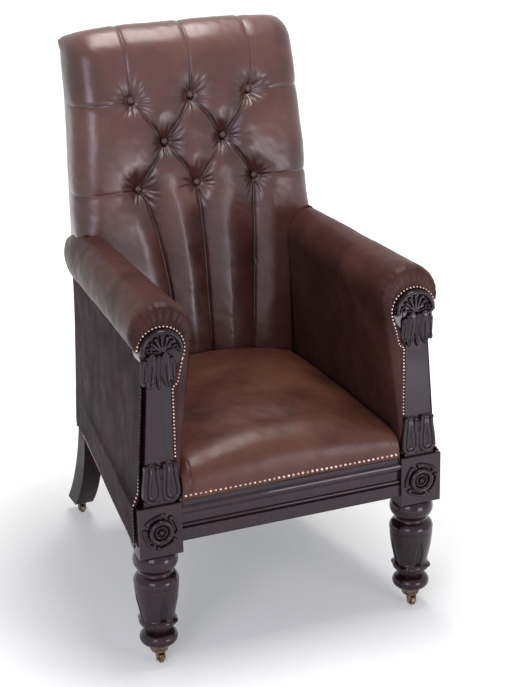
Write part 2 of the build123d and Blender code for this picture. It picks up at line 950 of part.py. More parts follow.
# Back cushion: channels below, deep tufts above, wrapped over the crest rail and the stiles
with BuildPart() as back_cushion:
    places = []
    for station in range(4):
        x = station * half_pitch
        top = top_height - back_corner_drop * (x / back_half_width_top) ** 2
        places.append((x, back_front_at(station), top, 0))
    edge_top = top_height - back_corner_drop
    places.append((edge_station_x, back_front_at(3), edge_top, back_corner_round / 2))
    places.append((
        back_half_width_low + cut_over,
        back_front_at(3),
        edge_top - back_corner_round / 2,
        back_corner_round,
    ))
    mirrored = [(-x, depths, top, set_back) for x, depths, top, set_back in reversed(places[1:])]
    loft(sections=[back_section(*place) for place in mirrored + places])
    add(back_space.part, mode=Mode.INTERSECT)
    with Locations((0, front_y + stile_front - soft_gap - webbing_thickness, arm_rail_top)):
        Box(
            2 * rear_leg_outer_x,
            stile_thickness,
            stile_top + soft_gap - arm_rail_top,
            align=(Align.CENTER, Align.MIN, Align.MIN),
            mode=Mode.SUBTRACT,
        )
    # pockets that the buttons sit in
    for x, depth, height in button_places:
        with BuildSketch(at_depth(depth + button_pocket_gap)) as pocket:
            with Locations((x, height)):
                Circle(button_r + button_pocket_gap)
        extrude(amount=2 * tuft_depth, mode=Mode.SUBTRACT)
keep(back_cushion, "back_cushion")

# Buttons: low domes pulled into the tufts
with BuildPart() as back_buttons:
    for x, depth, height in button_places:
        button_y = front_y + depth + button_pocket_gap
        with BuildSketch(Plane.XY.offset(height)) as dome:
            with BuildLine():
                Line((x, button_y), (x + button_r, button_y))
                TangentArc(
                    (x, button_y - button_height),
                    (x + button_r, button_y),
                    tangent=(1, 0),
                )
                Line((x, button_y - button_height), (x, button_y))
            make_face()
        revolve(axis=Axis((x, button_y, height), (0, 1, 0)))
keep(back_buttons, "back_buttons")

# Back webbing: straps tacked across the fronts of the stiles and rails
with BuildPart() as back_webbing:
    web_bottom = lower_back_rail_bottom
    web_y = front_y + stile_front - webbing_thickness / 2
    strap_pitch_x = (2 * rear_leg_inner_x - webbing_width) / back_straps_up
    for strap in range(back_straps_up):
        strap_x = (strap - (back_straps_up - 1) / 2) * strap_pitch_x
        with Locations((strap_x, web_y, (web_bottom + stile_top) / 2)):
            Box(webbing_width, webbing_thickness, stile_top - web_bottom)
    strap_pitch_z = (stile_top - web_bottom - webbing_width) / (back_straps_across - 1)
    for strap in range(back_straps_across):
        strap_z = web_bottom + webbing_width / 2 + strap * strap_pitch_z
        with Locations((0, web_y, strap_z)):
            Box(2 * rear_leg_x, webbing_thickness, webbing_width)
keep(back_webbing, "back_webbing")

# Outside back: a leather skin down the back of the stiles, with narrow cheeks up their sides
with BuildPart() as outside_back:
    with BuildSketch(Plane.YZ) as back_skin:
        add(rear_leg_outline(skin=leather))
        add(rear_leg_outline(), mode=Mode.SUBTRACT)
        Rectangle(
            2 * back_reach,
            outside_back_bottom,
            align=(Align.CENTER, Align.MIN),
            mode=Mode.SUBTRACT,
        )
    extrude(amount=rear_leg_outer_x + leather, both=True)
    for side in (-1, 1):
        with Locations((
            side * (rear_leg_outer_x + leather / 2),
            front_y + (back_side_depth + stile_back) / 2,
            arm_rail_top,
        )):
            Box(
                leather,
                stile_back - back_side_depth,
                stile_top - arm_rail_top,
                align=(Align.CENTER, Align.CENTER, Align.MIN),
            )
keep(outside_back, "outside_back")


def panel_section(depth):
    # Front view of the outside-arm panel: upright beside the rail, then leaning in to the roll
    foot = panel_x(depth)
    rear_waist_x = rear_leg_outer_x + panel_rear_fullness
    waist = share_between(panel_waist_x, rear_waist_x, panel_share(depth))
    top = panel_top_x(depth)
    with BuildSketch(at_depth(depth)) as section:
        with BuildLine():
            Polyline(
                (foot, panel_bottom),
                (foot, block_top),
                (waist, panel_waist_height),
                (top, arm_rail_top - panel_top_gap),
                (top + leather, arm_rail_top - panel_top_gap),
                (waist + leather, panel_waist_height),
                (foot + leather, block_top),
                (foot + leather, panel_bottom),
                close=True,
            )
        make_face()
    return section.sketch


# Outside-arm panels: leather over board, from the facing to the back of the sabre leg
with BuildPart() as outside_arm:
    loft(
        sections=[panel_section(panel_set_back), panel_section(panel_back_reach)],
        ruled=True,
    )
    with BuildSketch(Plane.YZ) as panel_trim:
        add(behind_leg())
    extrude(amount=front_width, mode=Mode.SUBTRACT)
    add(arm_facing.part, mode=Mode.SUBTRACT)
keep_pair(outside_arm, "outside_arm")


def arm_section(depth, inset, tail_share):
    # Front view of the padded arm: a slab up its inner face with the roll on top
    grow = tail_share * roll_tail_shrink + inset
    rise = along_arm(roll_rise_front, roll_rise_back, min(depth, roll_back)) - grow
    half = along_arm(roll_half_width_front, roll_half_width_back, min(depth, roll_back)) - grow
    x = along_arm(roll_x_front, roll_x_back, depth)
    z = along_arm(roll_height_front, roll_height_back, min(depth, roll_back))
    z -= tail_share * roll_tail_drop
    foot_in = along_arm(arm_inner_x_front, arm_inner_x_back, depth) + inset * slab_inset_share
    foot_out = arm_rail_x(depth) - arm_web_gap
    with BuildSketch(at_depth(depth)) as section:
        with BuildLine():
            Line((foot_in, arm_pad_bottom), (x - half, z))
            shoulder_z = z + rise * diagonal_share
            ThreePointArc((x - half, z), (x - half * diagonal_share, shoulder_z), (x, z + rise))
            ThreePointArc((x, z + rise), (x + half * diagonal_share, shoulder_z), (x + half, z))
            ThreePointArc(
                (x + half, z),
                (x + half * diagonal_share, share_between(z, arm_rail_top, diagonal_share)),
                (x + half * roll_seam_share, arm_rail_top),
            )
            Polyline(
                (x + half * roll_seam_share, arm_rail_top),
                (foot_out, arm_rail_top),
                (foot_out, arm_pad_bottom),
                (foot_in, arm_pad_bottom),
            )
        make_face()
    return section.sketch


# Room kept for the back cushion between and behind the arms
with BuildPart() as back_clearance:
    low = back_bottom - cut_over
    gap_half = back_gap_half_width + soft_gap
    wide_half = back_half_width_low + soft_gap
    loft(
        sections=[
            gap_section(low, gap_half, low_face_depth(low) - back_face_margin),
            gap_section(arm_rail_top, gap_half, low_face_depth(arm_rail_top) - back_face_margin),
        ],
        ruled=True,
    )
    loft(
        sections=[
            wide_section(arm_rail_top, wide_half, low_face_depth(arm_rail_top) - back_face_margin),
            wide_section(arm_level, wide_half, low_face_depth(arm_level) - back_face_margin),
        ],
        ruled=True,
    )

# Padded arms: a rolled top with a rounded nose, and a tail that dies away beside the back
with BuildPart() as arm_pad:
    nose_middle = share_between(roll_full, roll_front, cos(radians(roll_nose_turn)))
    nose_steps = (
        (roll_front, roll_nose_inset),
        (nose_middle, roll_nose_inset * (1 - sin(radians(roll_nose_turn)))),
        (roll_full, 0.0),
    )
    arm_sections = [arm_section(depth, inset, 0.0) for depth, inset in nose_steps]
    arm_sections.append(arm_section(roll_back, 0.0, 0.0))
    arm_sections.append(arm_section(roll_back + roll_tail, 0.0, 1.0))
    loft(sections=arm_sections, ruled=True)
    # room for the stile, for the back and for the head of the facing
    with Locations((0, front_y + slab_back, 0)):
        Box(
            2 * (rear_leg_outer_x + leather),
            back_reach,
            arm_rail_top,
            align=(Align.CENTER, Align.MIN, Align.MIN),
            mode=Mode.SUBTRACT,
        )
    add(back_clearance.part, mode=Mode.SUBTRACT)
    with BuildSketch(at_depth(facing_set_back + facing_thickness + soft_gap)) as head_room:
        with Locations((fan_x, fan_height)):
            Circle(fan_r + soft_gap)
    extrude(amount=facing_thickness + roll_full, mode=Mode.SUBTRACT)
keep_pair(arm_pad, "arm_pad")


def seat_section(depth, edge, crown, inset):
    # Front view of the seat: flat underneath, a crowned top between the arms
    foot = arm_face_x(depth, arm_pad_bottom) - soft_gap - inset
    shoulder = arm_face_x(depth, edge) - soft_gap - inset
    with BuildSketch(at_depth(depth)) as section:
        with BuildLine():
            Polyline((-shoulder, edge), (-foot, seat_bottom), (foot, seat_bottom), (shoulder, edge))
            ThreePointArc((shoulder, edge), (0, edge + crown), (-shoulder, edge))
        make_face()
    return section.sketch


# Seat webbing: woven straps tacked under the rails
with BuildPart() as seat_webbing:
    web_z = rail_bottom - webbing_thickness / 2
    middle_y = (rail_inside_y + rear_inside_y) / 2
    for strap in range(seat_straps_along):
        strap_x = (strap - (seat_straps_along - 1) / 2) * seat_strap_pitch_x
        with Locations((strap_x, middle_y, web_z)):
            Box(
                webbing_width,
                rear_inside_y - rail_inside_y + rear_rail_thickness,
                webbing_thickness,
            )
    for strap in range(seat_straps_across):
        strap_depth = middle_y - front_y + (strap - (seat_straps_across - 1) / 2) * seat_strap_pitch_y
        strap_reach = panel_x(strap_depth) - side_rail_thickness / 2
        with Locations((0, front_y + strap_depth, web_z)):
            Box(2 * strap_reach, webbing_width, webbing_thickness)
keep(seat_webbing, "seat_webbing")

# Seat springs: hourglass stand-ins for the coils, sewn to the webbing
with BuildPart() as seat_springs:
    for row in range(springs_along):
        for column in range(springs_across):
            spring_x = (column - (springs_across - 1) / 2) * spring_pitch_x
            spring_y = middle_y + (row - (springs_along - 1) / 2) * spring_pitch_y
            with BuildSketch(Plane.XZ.offset(-spring_y)) as spring_side:
                with BuildLine():
                    Line((spring_x, rail_bottom), (spring_x + spring_r, rail_bottom))
                    ThreePointArc(
                        (spring_x + spring_r, rail_bottom),
                        (spring_x + spring_waist_r, (rail_bottom + block_top) / 2),
                        (spring_x + spring_r, block_top),
                    )
                    Polyline(
                        (spring_x + spring_r, block_top),
                        (spring_x, block_top),
                        (spring_x, rail_bottom),
                    )
                make_face()
            revolve(axis=Axis((spring_x, spring_y, rail_bottom), (0, 0, 1)))
keep(seat_springs, "seat_springs")

# Hessian over the springs, tacked to the tops of the rails
with BuildPart() as seat_hessian:
    with BuildSketch(Plane.XY.offset(block_top)) as hessian_plan:
        with BuildLine():
            hessian_front = front_y + facing_set_back + hessian_edge
            hessian_back = front_y + thigh_back - thigh_thickness
            Polyline(
                (-block_inner_x, hessian_front),
                (block_inner_x, hessian_front),
                (rear_leg_inner_x, hessian_back),
                (-rear_leg_inner_x, hessian_back),
                close=True,
            )
        make_face()
    extrude(amount=hessian_thickness)
keep(seat_hessian, "seat_hessian")

# Seat stuffing: a firm pad on the hessian
with BuildPart() as seat_stuffing:
    with BuildSketch(Plane.XY.offset(seat_bottom)) as stuffing_plan:
        with BuildLine():
            stuffing_front = seat_front + seat_stuffing_inset
            stuffing_back = seat_back - seat_stuffing_inset
            front_half = arm_face_x(stuffing_front, arm_pad_bottom) - seat_stuffing_inset
            back_half = arm_face_x(stuffing_back, arm_pad_bottom) - seat_stuffing_inset
            Polyline(
                (-front_half, front_y + stuffing_front),
                (front_half, front_y + stuffing_front),
                (back_half, front_y + stuffing_back),
                (-back_half, front_y + stuffing_back),
                close=True,
            )
        make_face()
    extrude(amount=seat_stuffing_height)
keep(seat_stuffing, "seat_stuffing")

# Seat cushion: crowned leather top with a rounded front edge
with BuildPart() as seat_cushion:
    front_edge = block_top + seat_rise_front - seat_nose_inset
    nose_edge = block_top + seat_rise_nose
    nose_section = seat_section(seat_front + seat_nose, nose_edge, seat_crown_nose, 0.0)
    loft(sections=[
        seat_section(seat_front, front_edge, seat_crown_nose, seat_nose_inset),
        nose_section,
    ])
    loft(sections=[
        nose_section,
        seat_section(seat_middle, block_top + seat_rise_middle, seat_crown_middle, 0.0),
        seat_section(seat_back, block_top + seat_rise_back, seat_crown_back, 0.0),
    ])
    add(seat_stuffing.part, mode=Mode.SUBTRACT)
keep(seat_cushion, "seat_cushion")

# Dust cover tacked under the webbing, notched round the legs
with BuildPart() as dust_cover:
    cover_bottom = rail_bottom - webbing_thickness - dust_cover_thickness
    with BuildSketch(Plane.XY.offset(cover_bottom)) as cover_plan:
        with BuildLine():
            cover_front = front_y + front_rail_set_back + dust_cover_edge
            block_back = front_y + block_depth + dust_cover_edge
            leg_front = front_y + thigh_back - thigh_thickness
            leg_front_x = panel_x(leg_front - front_y) - dust_cover_edge
            cover_back = front_y + rear_rail_back - dust_cover_edge
            cover_leg_x = rear_leg_inner_x - dust_cover_edge
            right_edge = [
                (block_inner_x - dust_cover_edge, cover_front),
                (block_inner_x - dust_cover_edge, block_back),
                (panel_x(block_depth) - dust_cover_edge, block_back),
                (leg_front_x, leg_front),
                (cover_leg_x, leg_front),
                (cover_leg_x, cover_back),
            ]
            left_edge = [(-x, y) for x, y in reversed(right_edge)]
            Polyline(*right_edge, *left_edge, close=True)
        make_face()
    extrude(amount=dust_cover_thickness)
keep(dust_cover, "dust_cover")


def front_spot(x, depth, height):
    # Nail place on a face that looks forwards
    return Plane(origin=(x, front_y + depth, height), x_dir=(1, 0, 0), z_dir=(0, -1, 0))


def along_path(corners, pitch):
    # Points along a bent line, half a pitch clear of each corner, with the line's run and rise
    spots = []
    for (low_x, low_z), (high_x, high_z) in zip(corners, corners[1:]):
        run = high_x - low_x
        rise = high_z - low_z
        count = max(round(hypot(run, rise) / pitch), 1)
        for step in range(count):
            share = (2 * step + 1) / (2 * count)
            spots.append((low_x + run * share, low_z + rise * share, run, rise))
    return spots


def nails(spots, nail_r):
    with BuildPart() as heads:
        with Locations(*spots):
            Sphere(nail_r, arc_size1=0, arc_size2=90, align=None)
    return heads


# Seat nails: one row along the front, just above the rail
seat_nail_reach = arm_face_x(seat_front, arm_pad_bottom) - soft_gap - seat_nose_inset
seat_row = [(-seat_nail_reach, seat_nail_height), (seat_nail_reach, seat_nail_height)]
seat_nails = nails([
    front_spot(x, seat_front, height)
    for x, height, run, rise in along_path(seat_row, seat_nail_pitch)
], seat_nail_r)
keep(seat_nails, "seat_nails")

# Arm nails: up the inner edge of the facing, round the capital and over the fan
arch_r = fan_r + nail_edge
arch_drop = asin((fan_height - arm_rail_top) / arch_r)
capital_side_x = capital_x - capital_half_width - nail_edge
arm_column = [
    (facing_inner_x - nail_edge, leaf_top + nail_edge),
    (facing_inner_x - nail_edge, capital_bottom - nail_edge),
    (capital_side_x, capital_bottom + nail_edge),
    (fan_x - arch_r * cos(arch_drop), arm_rail_top),
]
arm_spots = [
    front_spot(x, roll_front, height)
    for x, height, run, rise in along_path(arm_column, arm_nail_pitch)
]
arch_count = round(arch_r * (pi + arch_drop) / arm_nail_pitch)
for step in range(arch_count):
    turn = (pi + arch_drop) * (step + 1) / arch_count
    arm_spots.append(
        front_spot(fan_x + arch_r * cos(turn), roll_front, fan_height + arch_r * sin(turn))
    )
arm_nails = nails(arm_spots, arm_nail_r)
keep_pair(arm_nails, "arm_nails")

# Side nails: up the front edge of the outside-arm panel and along its foot
nail_depth = panel_set_back + nail_edge
column_top_share = (capital_bottom - panel_waist_height) / (arm_rail_top - panel_waist_height)
column_top_x = share_between(panel_waist_x, panel_top_x_front, column_top_share)
side_column = [
    (half_front + leather, panel_bottom + nail_edge),
    (half_front + leather, block_top),
    (panel_waist_x + leather, panel_waist_height),
    (column_top_x + leather, capital_bottom),
]
side_spots = [
    Plane(origin=(x, front_y + nail_depth, height), x_dir=(0, 1, 0), z_dir=(rise, 0, -run))
    for x, height, run, rise in along_path(side_column, arm_nail_pitch)
]
foot_row = [
    (nail_depth + nail_edge, panel_bottom + nail_edge),
    (knee_back - knee_thickness, panel_bottom + nail_edge),
]
for depth, height, run, rise in along_path(foot_row, arm_nail_pitch):
    side_spots.append(
        Plane(
            origin=(panel_x(depth) + leather, front_y + depth, height),
            x_dir=(0, 0, 1),
            z_dir=(panel_back_reach - panel_set_back, half_front - rear_leg_outer_x, 0),
        )
    )
side_nails = nails(side_spots, arm_nail_r)
keep_pair(side_nails, "side_nails")

# Front caster cups: tapered brass sockets round the feet
with BuildPart() as caster_cup:
    with BuildSketch(Plane((leg_x, leg_y, 0), x_dir=(1, 0, 0), z_dir=(0, -1, 0))) as cup_section:
        with BuildLine():
            cup_top = cup_bottom + cup_height
            taper_share = (cup_top - cup_inside) / (low_ring_bottom - cup_inside)
            cup_inner_r = share_between(leg_tip_r, leg_foot_r, taper_share)
            Polyline(
                (caster_pin_r + pin_clearance, cup_bottom),
                (leg_tip_r + cup_wall, cup_bottom),
                (cup_inner_r + cup_wall, cup_top),
                (cup_inner_r, cup_top),
                (leg_tip_r, cup_inside),
                (caster_pin_r + pin_clearance, cup_inside),
                close=True,
            )
        make_face()
    revolve(axis=Axis((leg_x, leg_y, 0), (0, 0, 1)))
keep_pair(caster_cup, "caster_cup")

# Rear caster plates: brass discs under the sabre feet
with BuildPart() as caster_plate:
    with BuildSketch(Plane.XY.offset(cup_bottom)) as plate_plan:
        with Locations((rear_leg_x, front_y + foot_middle)):
            Circle(plate_r)
            Circle(caster_pin_r + pin_clearance, mode=Mode.SUBTRACT)
    extrude(amount=foot_bottom - cup_bottom)
keep_pair(caster_plate, "caster_plate")

# Casters: a swivelling yoke, an axle through its ears, and a wheel
caster_places = {
    "front_right": (leg_x, leg_y),
    "front_left": (-leg_x, leg_y),
    "rear_right": (rear_leg_x, front_y + foot_middle),
    "rear_left": (-rear_leg_x, front_y + foot_middle),
}
fork_half = wheel_width / 2 + wheel_side_gap + fork_ear
for place, (swivel_x, swivel_y) in caster_places.items():
    axle_y = swivel_y - caster_trail
    with BuildPart() as caster_yoke:
        with BuildSketch(Plane.YZ.offset(swivel_x - fork_half)) as fork_side:
            with BuildLine():
                Line((axle_y - axle_r - fork_ear, wheel_r), (axle_y - axle_r - fork_ear, fork_top))
                Line((axle_y - axle_r - fork_ear, fork_top), (swivel_y + caster_trail, fork_top))
                Line((swivel_y + caster_trail, fork_top), (axle_y + axle_r + fork_ear, wheel_r))
                ThreePointArc(
                    (axle_y + axle_r + fork_ear, wheel_r),
                    (axle_y, wheel_r - axle_r - fork_ear),
                    (axle_y - axle_r - fork_ear, wheel_r),
                )
            make_face()
        extrude(amount=2 * fork_half)
        with Locations((swivel_x, axle_y, 0)):
            Box(
                wheel_width + 2 * wheel_side_gap,
                front_width,
                2 * wheel_r + fork_wheel_gap,
                align=(Align.CENTER, Align.CENTER, Align.MIN),
                mode=Mode.SUBTRACT,
            )
        with Locations((swivel_x, axle_y, wheel_r)):
            Cylinder(axle_r, 2 * front_width, rotation=(0, 90, 0), mode=Mode.SUBTRACT)
        with BuildSketch(Plane.XY.offset(fork_top)) as pin:
            with Locations((swivel_x, swivel_y)):
                Circle(caster_pin_r)
        extrude(amount=caster_pin_length)
    keep(caster_yoke, f"caster_yoke_{place}")

    with BuildPart() as caster_axle:
        with Locations((swivel_x, axle_y, wheel_r)):
            Cylinder(axle_r, 2 * fork_half, rotation=(0, 90, 0))
    keep(caster_axle, f"caster_axle_{place}")

    with BuildPart() as caster_wheel:
        with Locations((swivel_x, axle_y, wheel_r)):
            Cylinder(wheel_r, wheel_width, rotation=(0, 90, 0))
        chamfer(caster_wheel.edges().filter_by(GeomType.CIRCLE), wheel_tread)
        with Locations((swivel_x, axle_y, wheel_r)):
            Cylinder(axle_r + axle_clearance, 2 * wheel_width, rotation=(0, 90, 0), mode=Mode.SUBTRACT)
    keep(caster_wheel, f"caster_wheel_{place}")
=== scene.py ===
# Library armchair: leather over a sprung seat, rolled arms and a buttoned back, with carved dark
# wood in front. Lengths are in millimetres up to to_metres, but for the camera's distance, the
# materials and the studio. Depths run back from the faces of the front leg blocks, as in the
# part's source.
import json
import math

import bpy
import numpy as np
from mathutils import Matrix, Vector


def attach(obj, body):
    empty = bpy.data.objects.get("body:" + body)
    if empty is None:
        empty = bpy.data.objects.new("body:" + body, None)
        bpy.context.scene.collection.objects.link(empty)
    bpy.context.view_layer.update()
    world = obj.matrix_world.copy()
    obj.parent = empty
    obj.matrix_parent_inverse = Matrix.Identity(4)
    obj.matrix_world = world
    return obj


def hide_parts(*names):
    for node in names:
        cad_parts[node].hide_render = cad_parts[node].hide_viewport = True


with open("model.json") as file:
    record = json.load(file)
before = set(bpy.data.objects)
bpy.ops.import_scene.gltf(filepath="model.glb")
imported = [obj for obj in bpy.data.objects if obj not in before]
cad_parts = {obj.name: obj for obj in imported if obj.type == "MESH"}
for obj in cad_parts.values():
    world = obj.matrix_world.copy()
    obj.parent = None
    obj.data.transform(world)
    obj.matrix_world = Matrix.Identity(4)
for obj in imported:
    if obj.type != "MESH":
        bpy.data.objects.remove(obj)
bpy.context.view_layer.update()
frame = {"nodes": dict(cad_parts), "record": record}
nodes = frame["nodes"]

MM = 0.001
BLOCK_FACE_Y = -383.5
CHAIR = "chair"
QUARTER = math.pi / 2


# Camera
PHOTO_HEIGHT = 687.0
FOCAL_PIXELS = 1726.32
SENSOR = 36.0
CAMERA_DISTANCE = 3.50446
CAMERA_AIM = (51.17, -83.5, 515.26)
AZIMUTH, ELEVATION, ROLL = (math.radians(a) for a in (-22.42, 19.90, -1.30))


def link(name, data):
    obj = bpy.data.objects.new(name, data)
    bpy.context.scene.collection.objects.link(obj)
    return obj


def make_camera():
    back = Vector((
        math.sin(AZIMUTH) * math.cos(ELEVATION),
        -math.cos(AZIMUTH) * math.cos(ELEVATION),
        math.sin(ELEVATION),
    ))
    data = bpy.data.cameras.new("photo_camera")
    camera = link("photo_camera", data)
    camera.location = Vector(CAMERA_AIM) * MM + back * CAMERA_DISTANCE
    level = (-back).to_track_quat("-Z", "Y").to_matrix()
    camera.rotation_euler = (level @ Matrix.Rotation(ROLL, 3, "Z")).to_euler()
    data.sensor_width = SENSOR
    data.lens = FOCAL_PIXELS * SENSOR / PHOTO_HEIGHT
    data.clip_start = 0.1
    data.clip_end = 60.0
    bpy.context.scene.camera = camera


# Mesh helpers
def to_metres(points):
    moved = np.array(points, float)
    moved[..., 1] += BLOCK_FACE_Y
    return moved * MM


def new_object(name, vertices, faces, look):
    mesh = bpy.data.meshes.new(name)
    mesh.from_pydata(vertices.tolist(), [], np.asarray(faces).tolist())
    mesh.validate()
    mesh.shade_smooth()
    mesh.materials.append(look)
    return link(name, mesh)


def quads(rows, columns, wrap=False):
    index = np.arange(rows * columns).reshape(rows, columns)
    if wrap:
        index = np.concatenate([index, index[:, :1]], 1)
    corners = (index[:-1, :-1], index[:-1, 1:], index[1:, 1:], index[1:, :-1])
    return np.stack(corners, -1).reshape(-1, 4)


def grid_object(name, grid, look, wrap=False, flip=False, **values):
    # A mesh over a grid of points, with the values as attributes that its material reads
    faces = quads(*grid.shape[:2], wrap)
    if flip:
        faces = faces[:, ::-1]
    obj = new_object(name, to_metres(grid).reshape(-1, 3), faces, look)
    for key, data in values.items():
        layer = obj.data.attributes.new(key, "FLOAT", "POINT")
        layer.data.foreach_set("value", np.asarray(data, np.float32).reshape(-1))
    return obj


def mirrored(obj, name):
    copy = obj.copy()
    copy.data = obj.data.copy()
    copy.name = name
    copy.data.transform(Matrix.Scale(-1, 4, (1, 0, 0)))
    copy.data.flip_normals()
    bpy.context.scene.collection.objects.link(copy)
    return copy


def chair_piece(obj, slot, *replaced, pad=None):
    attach(obj, CHAIR)
    if replaced:
        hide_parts(*replaced)


def chair_pair(right, slot, node=None, pad=None):
    # The piece on the right and its mirror image on the left, each for its own node
    left = mirrored(right, right.name.replace("right", "left"))
    for obj, side in ((right, "right"), (left, "left")):
        replaced = [f"{node}_{side}"] if node else []
        chair_piece(obj, slot, *replaced, pad=pad)


def outward(grid, at, axis, sign):
    # Unit normals of a grid, turned so that at the grid point given they look along the axis, or
    # against it where the sign is -1
    across = np.gradient(grid, axis=1)
    down = np.gradient(grid, axis=0)
    n = np.cross(across, down)
    n = n / np.maximum(np.linalg.norm(n, axis=-1, keepdims=True), 1e-9)
    return n if n[at][axis] * sign > 0 else -n


def relaxed(grid, rounds, axis):
    # Evens out kinks between neighbouring rows or columns, with the ends kept
    moved = np.moveaxis(grid.copy(), axis, 0)
    for _ in range(rounds):
        moved[1:-1] += ((moved[:-2] + moved[2:]) / 2 - moved[1:-1]) * 0.5
    return np.moveaxis(moved, 0, axis)


def rows_and_columns(down, across):
    # Two grids: the value of each row, and the value of each column
    return np.repeat(down[:, None], across.size, 1), np.repeat(across[None, :], down.size, 0)


def ease(share):
    return share * share * (3 - 2 * share)


def smooth_step(low, high, value):
    return ease(np.clip((np.asarray(value, float) - low) / (high - low), 0, 1))


def bell(distance, width):
    return np.exp(-(distance / width) ** 2)


def lattice_noise(x, y, scale, seed):
    # Smooth noise from -1 to 1, the same on every run
    cells = 64
    table = np.random.RandomState(seed).uniform(-1, 1, (cells, cells))
    u = np.asarray(x, float) / scale
    v = np.asarray(y, float) / scale
    i = np.floor(u).astype(int)
    j = np.floor(v).astype(int)
    fu = ease(u - i)
    fv = ease(v - j)
    near = table[i % cells, j % cells] * (1 - fu) + table[(i + 1) % cells, j % cells] * fu
    far = table[i % cells, (j + 1) % cells] * (1 - fu) + table[(i + 1) % cells, (j + 1) % cells] * fu
    return near * (1 - fv) + far * fv


def path_distance(x, z, points):
    # Distance to a bent line, the share along it of the nearest point, the side that this lies on,
    # and the shares of the line's own points
    points = np.array(points, float)
    lengths = np.linalg.norm(np.diff(points, axis=0), axis=1)
    starts = np.concatenate([[0], np.cumsum(lengths)])
    best = np.full(x.shape, np.inf)
    share = np.zeros(x.shape)
    side = np.zeros(x.shape)
    for k, (p, q) in enumerate(zip(points, points[1:])):
        d = (q - p) / lengths[k]
        t = np.clip((x - p[0]) * d[0] + (z - p[1]) * d[1], 0, lengths[k])
        dx = x - (p[0] + d[0] * t)
        dz = z - (p[1] + d[1] * t)
        dist = np.hypot(dx, dz)
        nearer = dist < best
        best = np.where(nearer, dist, best)
        share = np.where(nearer, (starts[k] + t) / starts[-1], share)
        side = np.where(nearer, np.sign(dx * d[1] - dz * d[0]), side)
    return best, share, side, starts / starts[-1]


# Material helpers
WHITE = (1.0, 1.0, 1.0)
MIX_FACTOR, MIX_A, MIX_B, MIX_COLOUR = 0, 6, 7, 2


def material(name):
    made = bpy.data.materials.new(name)
    made.use_nodes = True
    tree = made.node_tree
    return made, tree, tree.nodes["Principled BSDF"]


def set_sockets(shader, values):
    for name, value in values.items():
        shader.inputs[name].default_value = value


def feed(tree, socket, value):
    # Links a socket to another, or sets it to a number or a colour
    if isinstance(value, bpy.types.NodeSocket):
        tree.links.new(value, socket)
    elif isinstance(value, tuple):
        socket.default_value = (*value, 1)
    else:
        socket.default_value = value


def ramp(tree, source, *stops):
    made = tree.nodes.new("ShaderNodeValToRGB")
    elements = made.color_ramp.elements
    while len(elements) < len(stops):
        elements.new(0.5)
    for element, (place, colour) in zip(elements, stops):
        element.position = place
        element.color = (*colour, 1)
    tree.links.new(source, made.inputs["Fac"])
    return made.outputs["Color"]


def mix(tree, kind, a, b, factor):
    made = tree.nodes.new("ShaderNodeMix")
    made.data_type = "RGBA"
    made.blend_type = kind
    for place, value in ((MIX_FACTOR, factor), (MIX_A, a), (MIX_B, b)):
        feed(tree, made.inputs[place], value)
    return made.outputs[MIX_COLOUR]


def maths(tree, kind, a, b):
    made = tree.nodes.new("ShaderNodeMath")
    made.operation = kind
    for socket, value in zip(made.inputs, (a, b)):
        feed(tree, socket, value)
    return made.outputs[0]


def bump(tree, height, strength, distance, under=None):
    made = tree.nodes.new("ShaderNodeBump")
    set_sockets(made, {"Strength": strength, "Distance": distance})
    tree.links.new(height, made.inputs["Height"])
    if under is not None:
        tree.links.new(under, made.inputs["Normal"])
    return made.outputs["Normal"]


def coordinates(tree, scale=(1, 1, 1), turn=(0, 0, 0)):
    place = tree.nodes.new("ShaderNodeTexCoord")
    mapping = tree.nodes.new("ShaderNodeMapping")
    set_sockets(mapping, {"Scale": scale, "Rotation": turn})
    tree.links.new(place.outputs["Object"], mapping.inputs["Vector"])
    return mapping.outputs["Vector"]


def noise(tree, vector, scale, detail, rough, distortion=0.0):
    made = tree.nodes.new("ShaderNodeTexNoise")
    set_sockets(made, {"Scale": scale, "Detail": detail, "Roughness": rough, "Distortion": distortion})
    tree.links.new(vector, made.inputs["Vector"])
    return made.outputs["Fac"]


def attribute(tree, name):
    # A mesh without the attribute gives 0
    made = tree.nodes.new("ShaderNodeAttribute")
    made.attribute_name = name
    return made.outputs["Fac"]


def times(colour, factor):
    return tuple(c * factor for c in colour)


def vary_roughness(tree, shader, pattern, *stops):
    greys = [(place, (rough,) * 3) for place, rough in stops]
    tree.links.new(ramp(tree, pattern, *greys), shader.inputs["Roughness"])


# Materials
def leather_colour(tree, space, dark, middle, light):
    # Clouds and freckles; paler with wear and a painted highlight on crests and tops, and nearly black with
    # painted shade in the creases
    cloud = noise(tree, space, scale=7.0, detail=6.0, rough=0.6, distortion=0.4)
    base = ramp(tree, cloud, (0.30, dark), (0.52, middle), (0.72, light))
    freckle = noise(tree, space, scale=55.0, detail=3.0, rough=0.65)
    spots = ramp(tree, freckle, (0.35, (0.72, 0.70, 0.70)), (0.62, WHITE))
    base = mix(tree, "MULTIPLY", base, spots, factor=0.55)
    # paler where the mesh marks wear and a painted highlight
    wear_and_highlight_share = maths(tree, "MULTIPLY", attribute(tree, "worn"), 0.45)
    base = mix(tree, "MIX", base, times(light, 1.25), factor=wear_and_highlight_share)
    # nearly black with painted shade in the creases and recesses
    return mix(tree, "MIX", base, times(dark, 0.16), factor=attribute(tree, "fold"))


def leather_surface(tree, space):
    # Broad rumples over fine creases over pores
    pores = tree.nodes.new("ShaderNodeTexVoronoi")
    set_sockets(pores, {"Scale": 620.0})
    tree.links.new(space, pores.inputs["Vector"])
    creases = noise(tree, space, scale=95.0, detail=5.0, rough=0.7, distortion=1.2)
    rumples = noise(tree, space, scale=26.0, detail=4.0, rough=0.6, distortion=0.6)
    normal = bump(tree, pores.outputs["Distance"], strength=0.12, distance=0.0006)
    normal = bump(tree, creases, strength=0.20, distance=0.0012, under=normal)
    return bump(tree, rumples, strength=0.14, distance=0.004, under=normal)


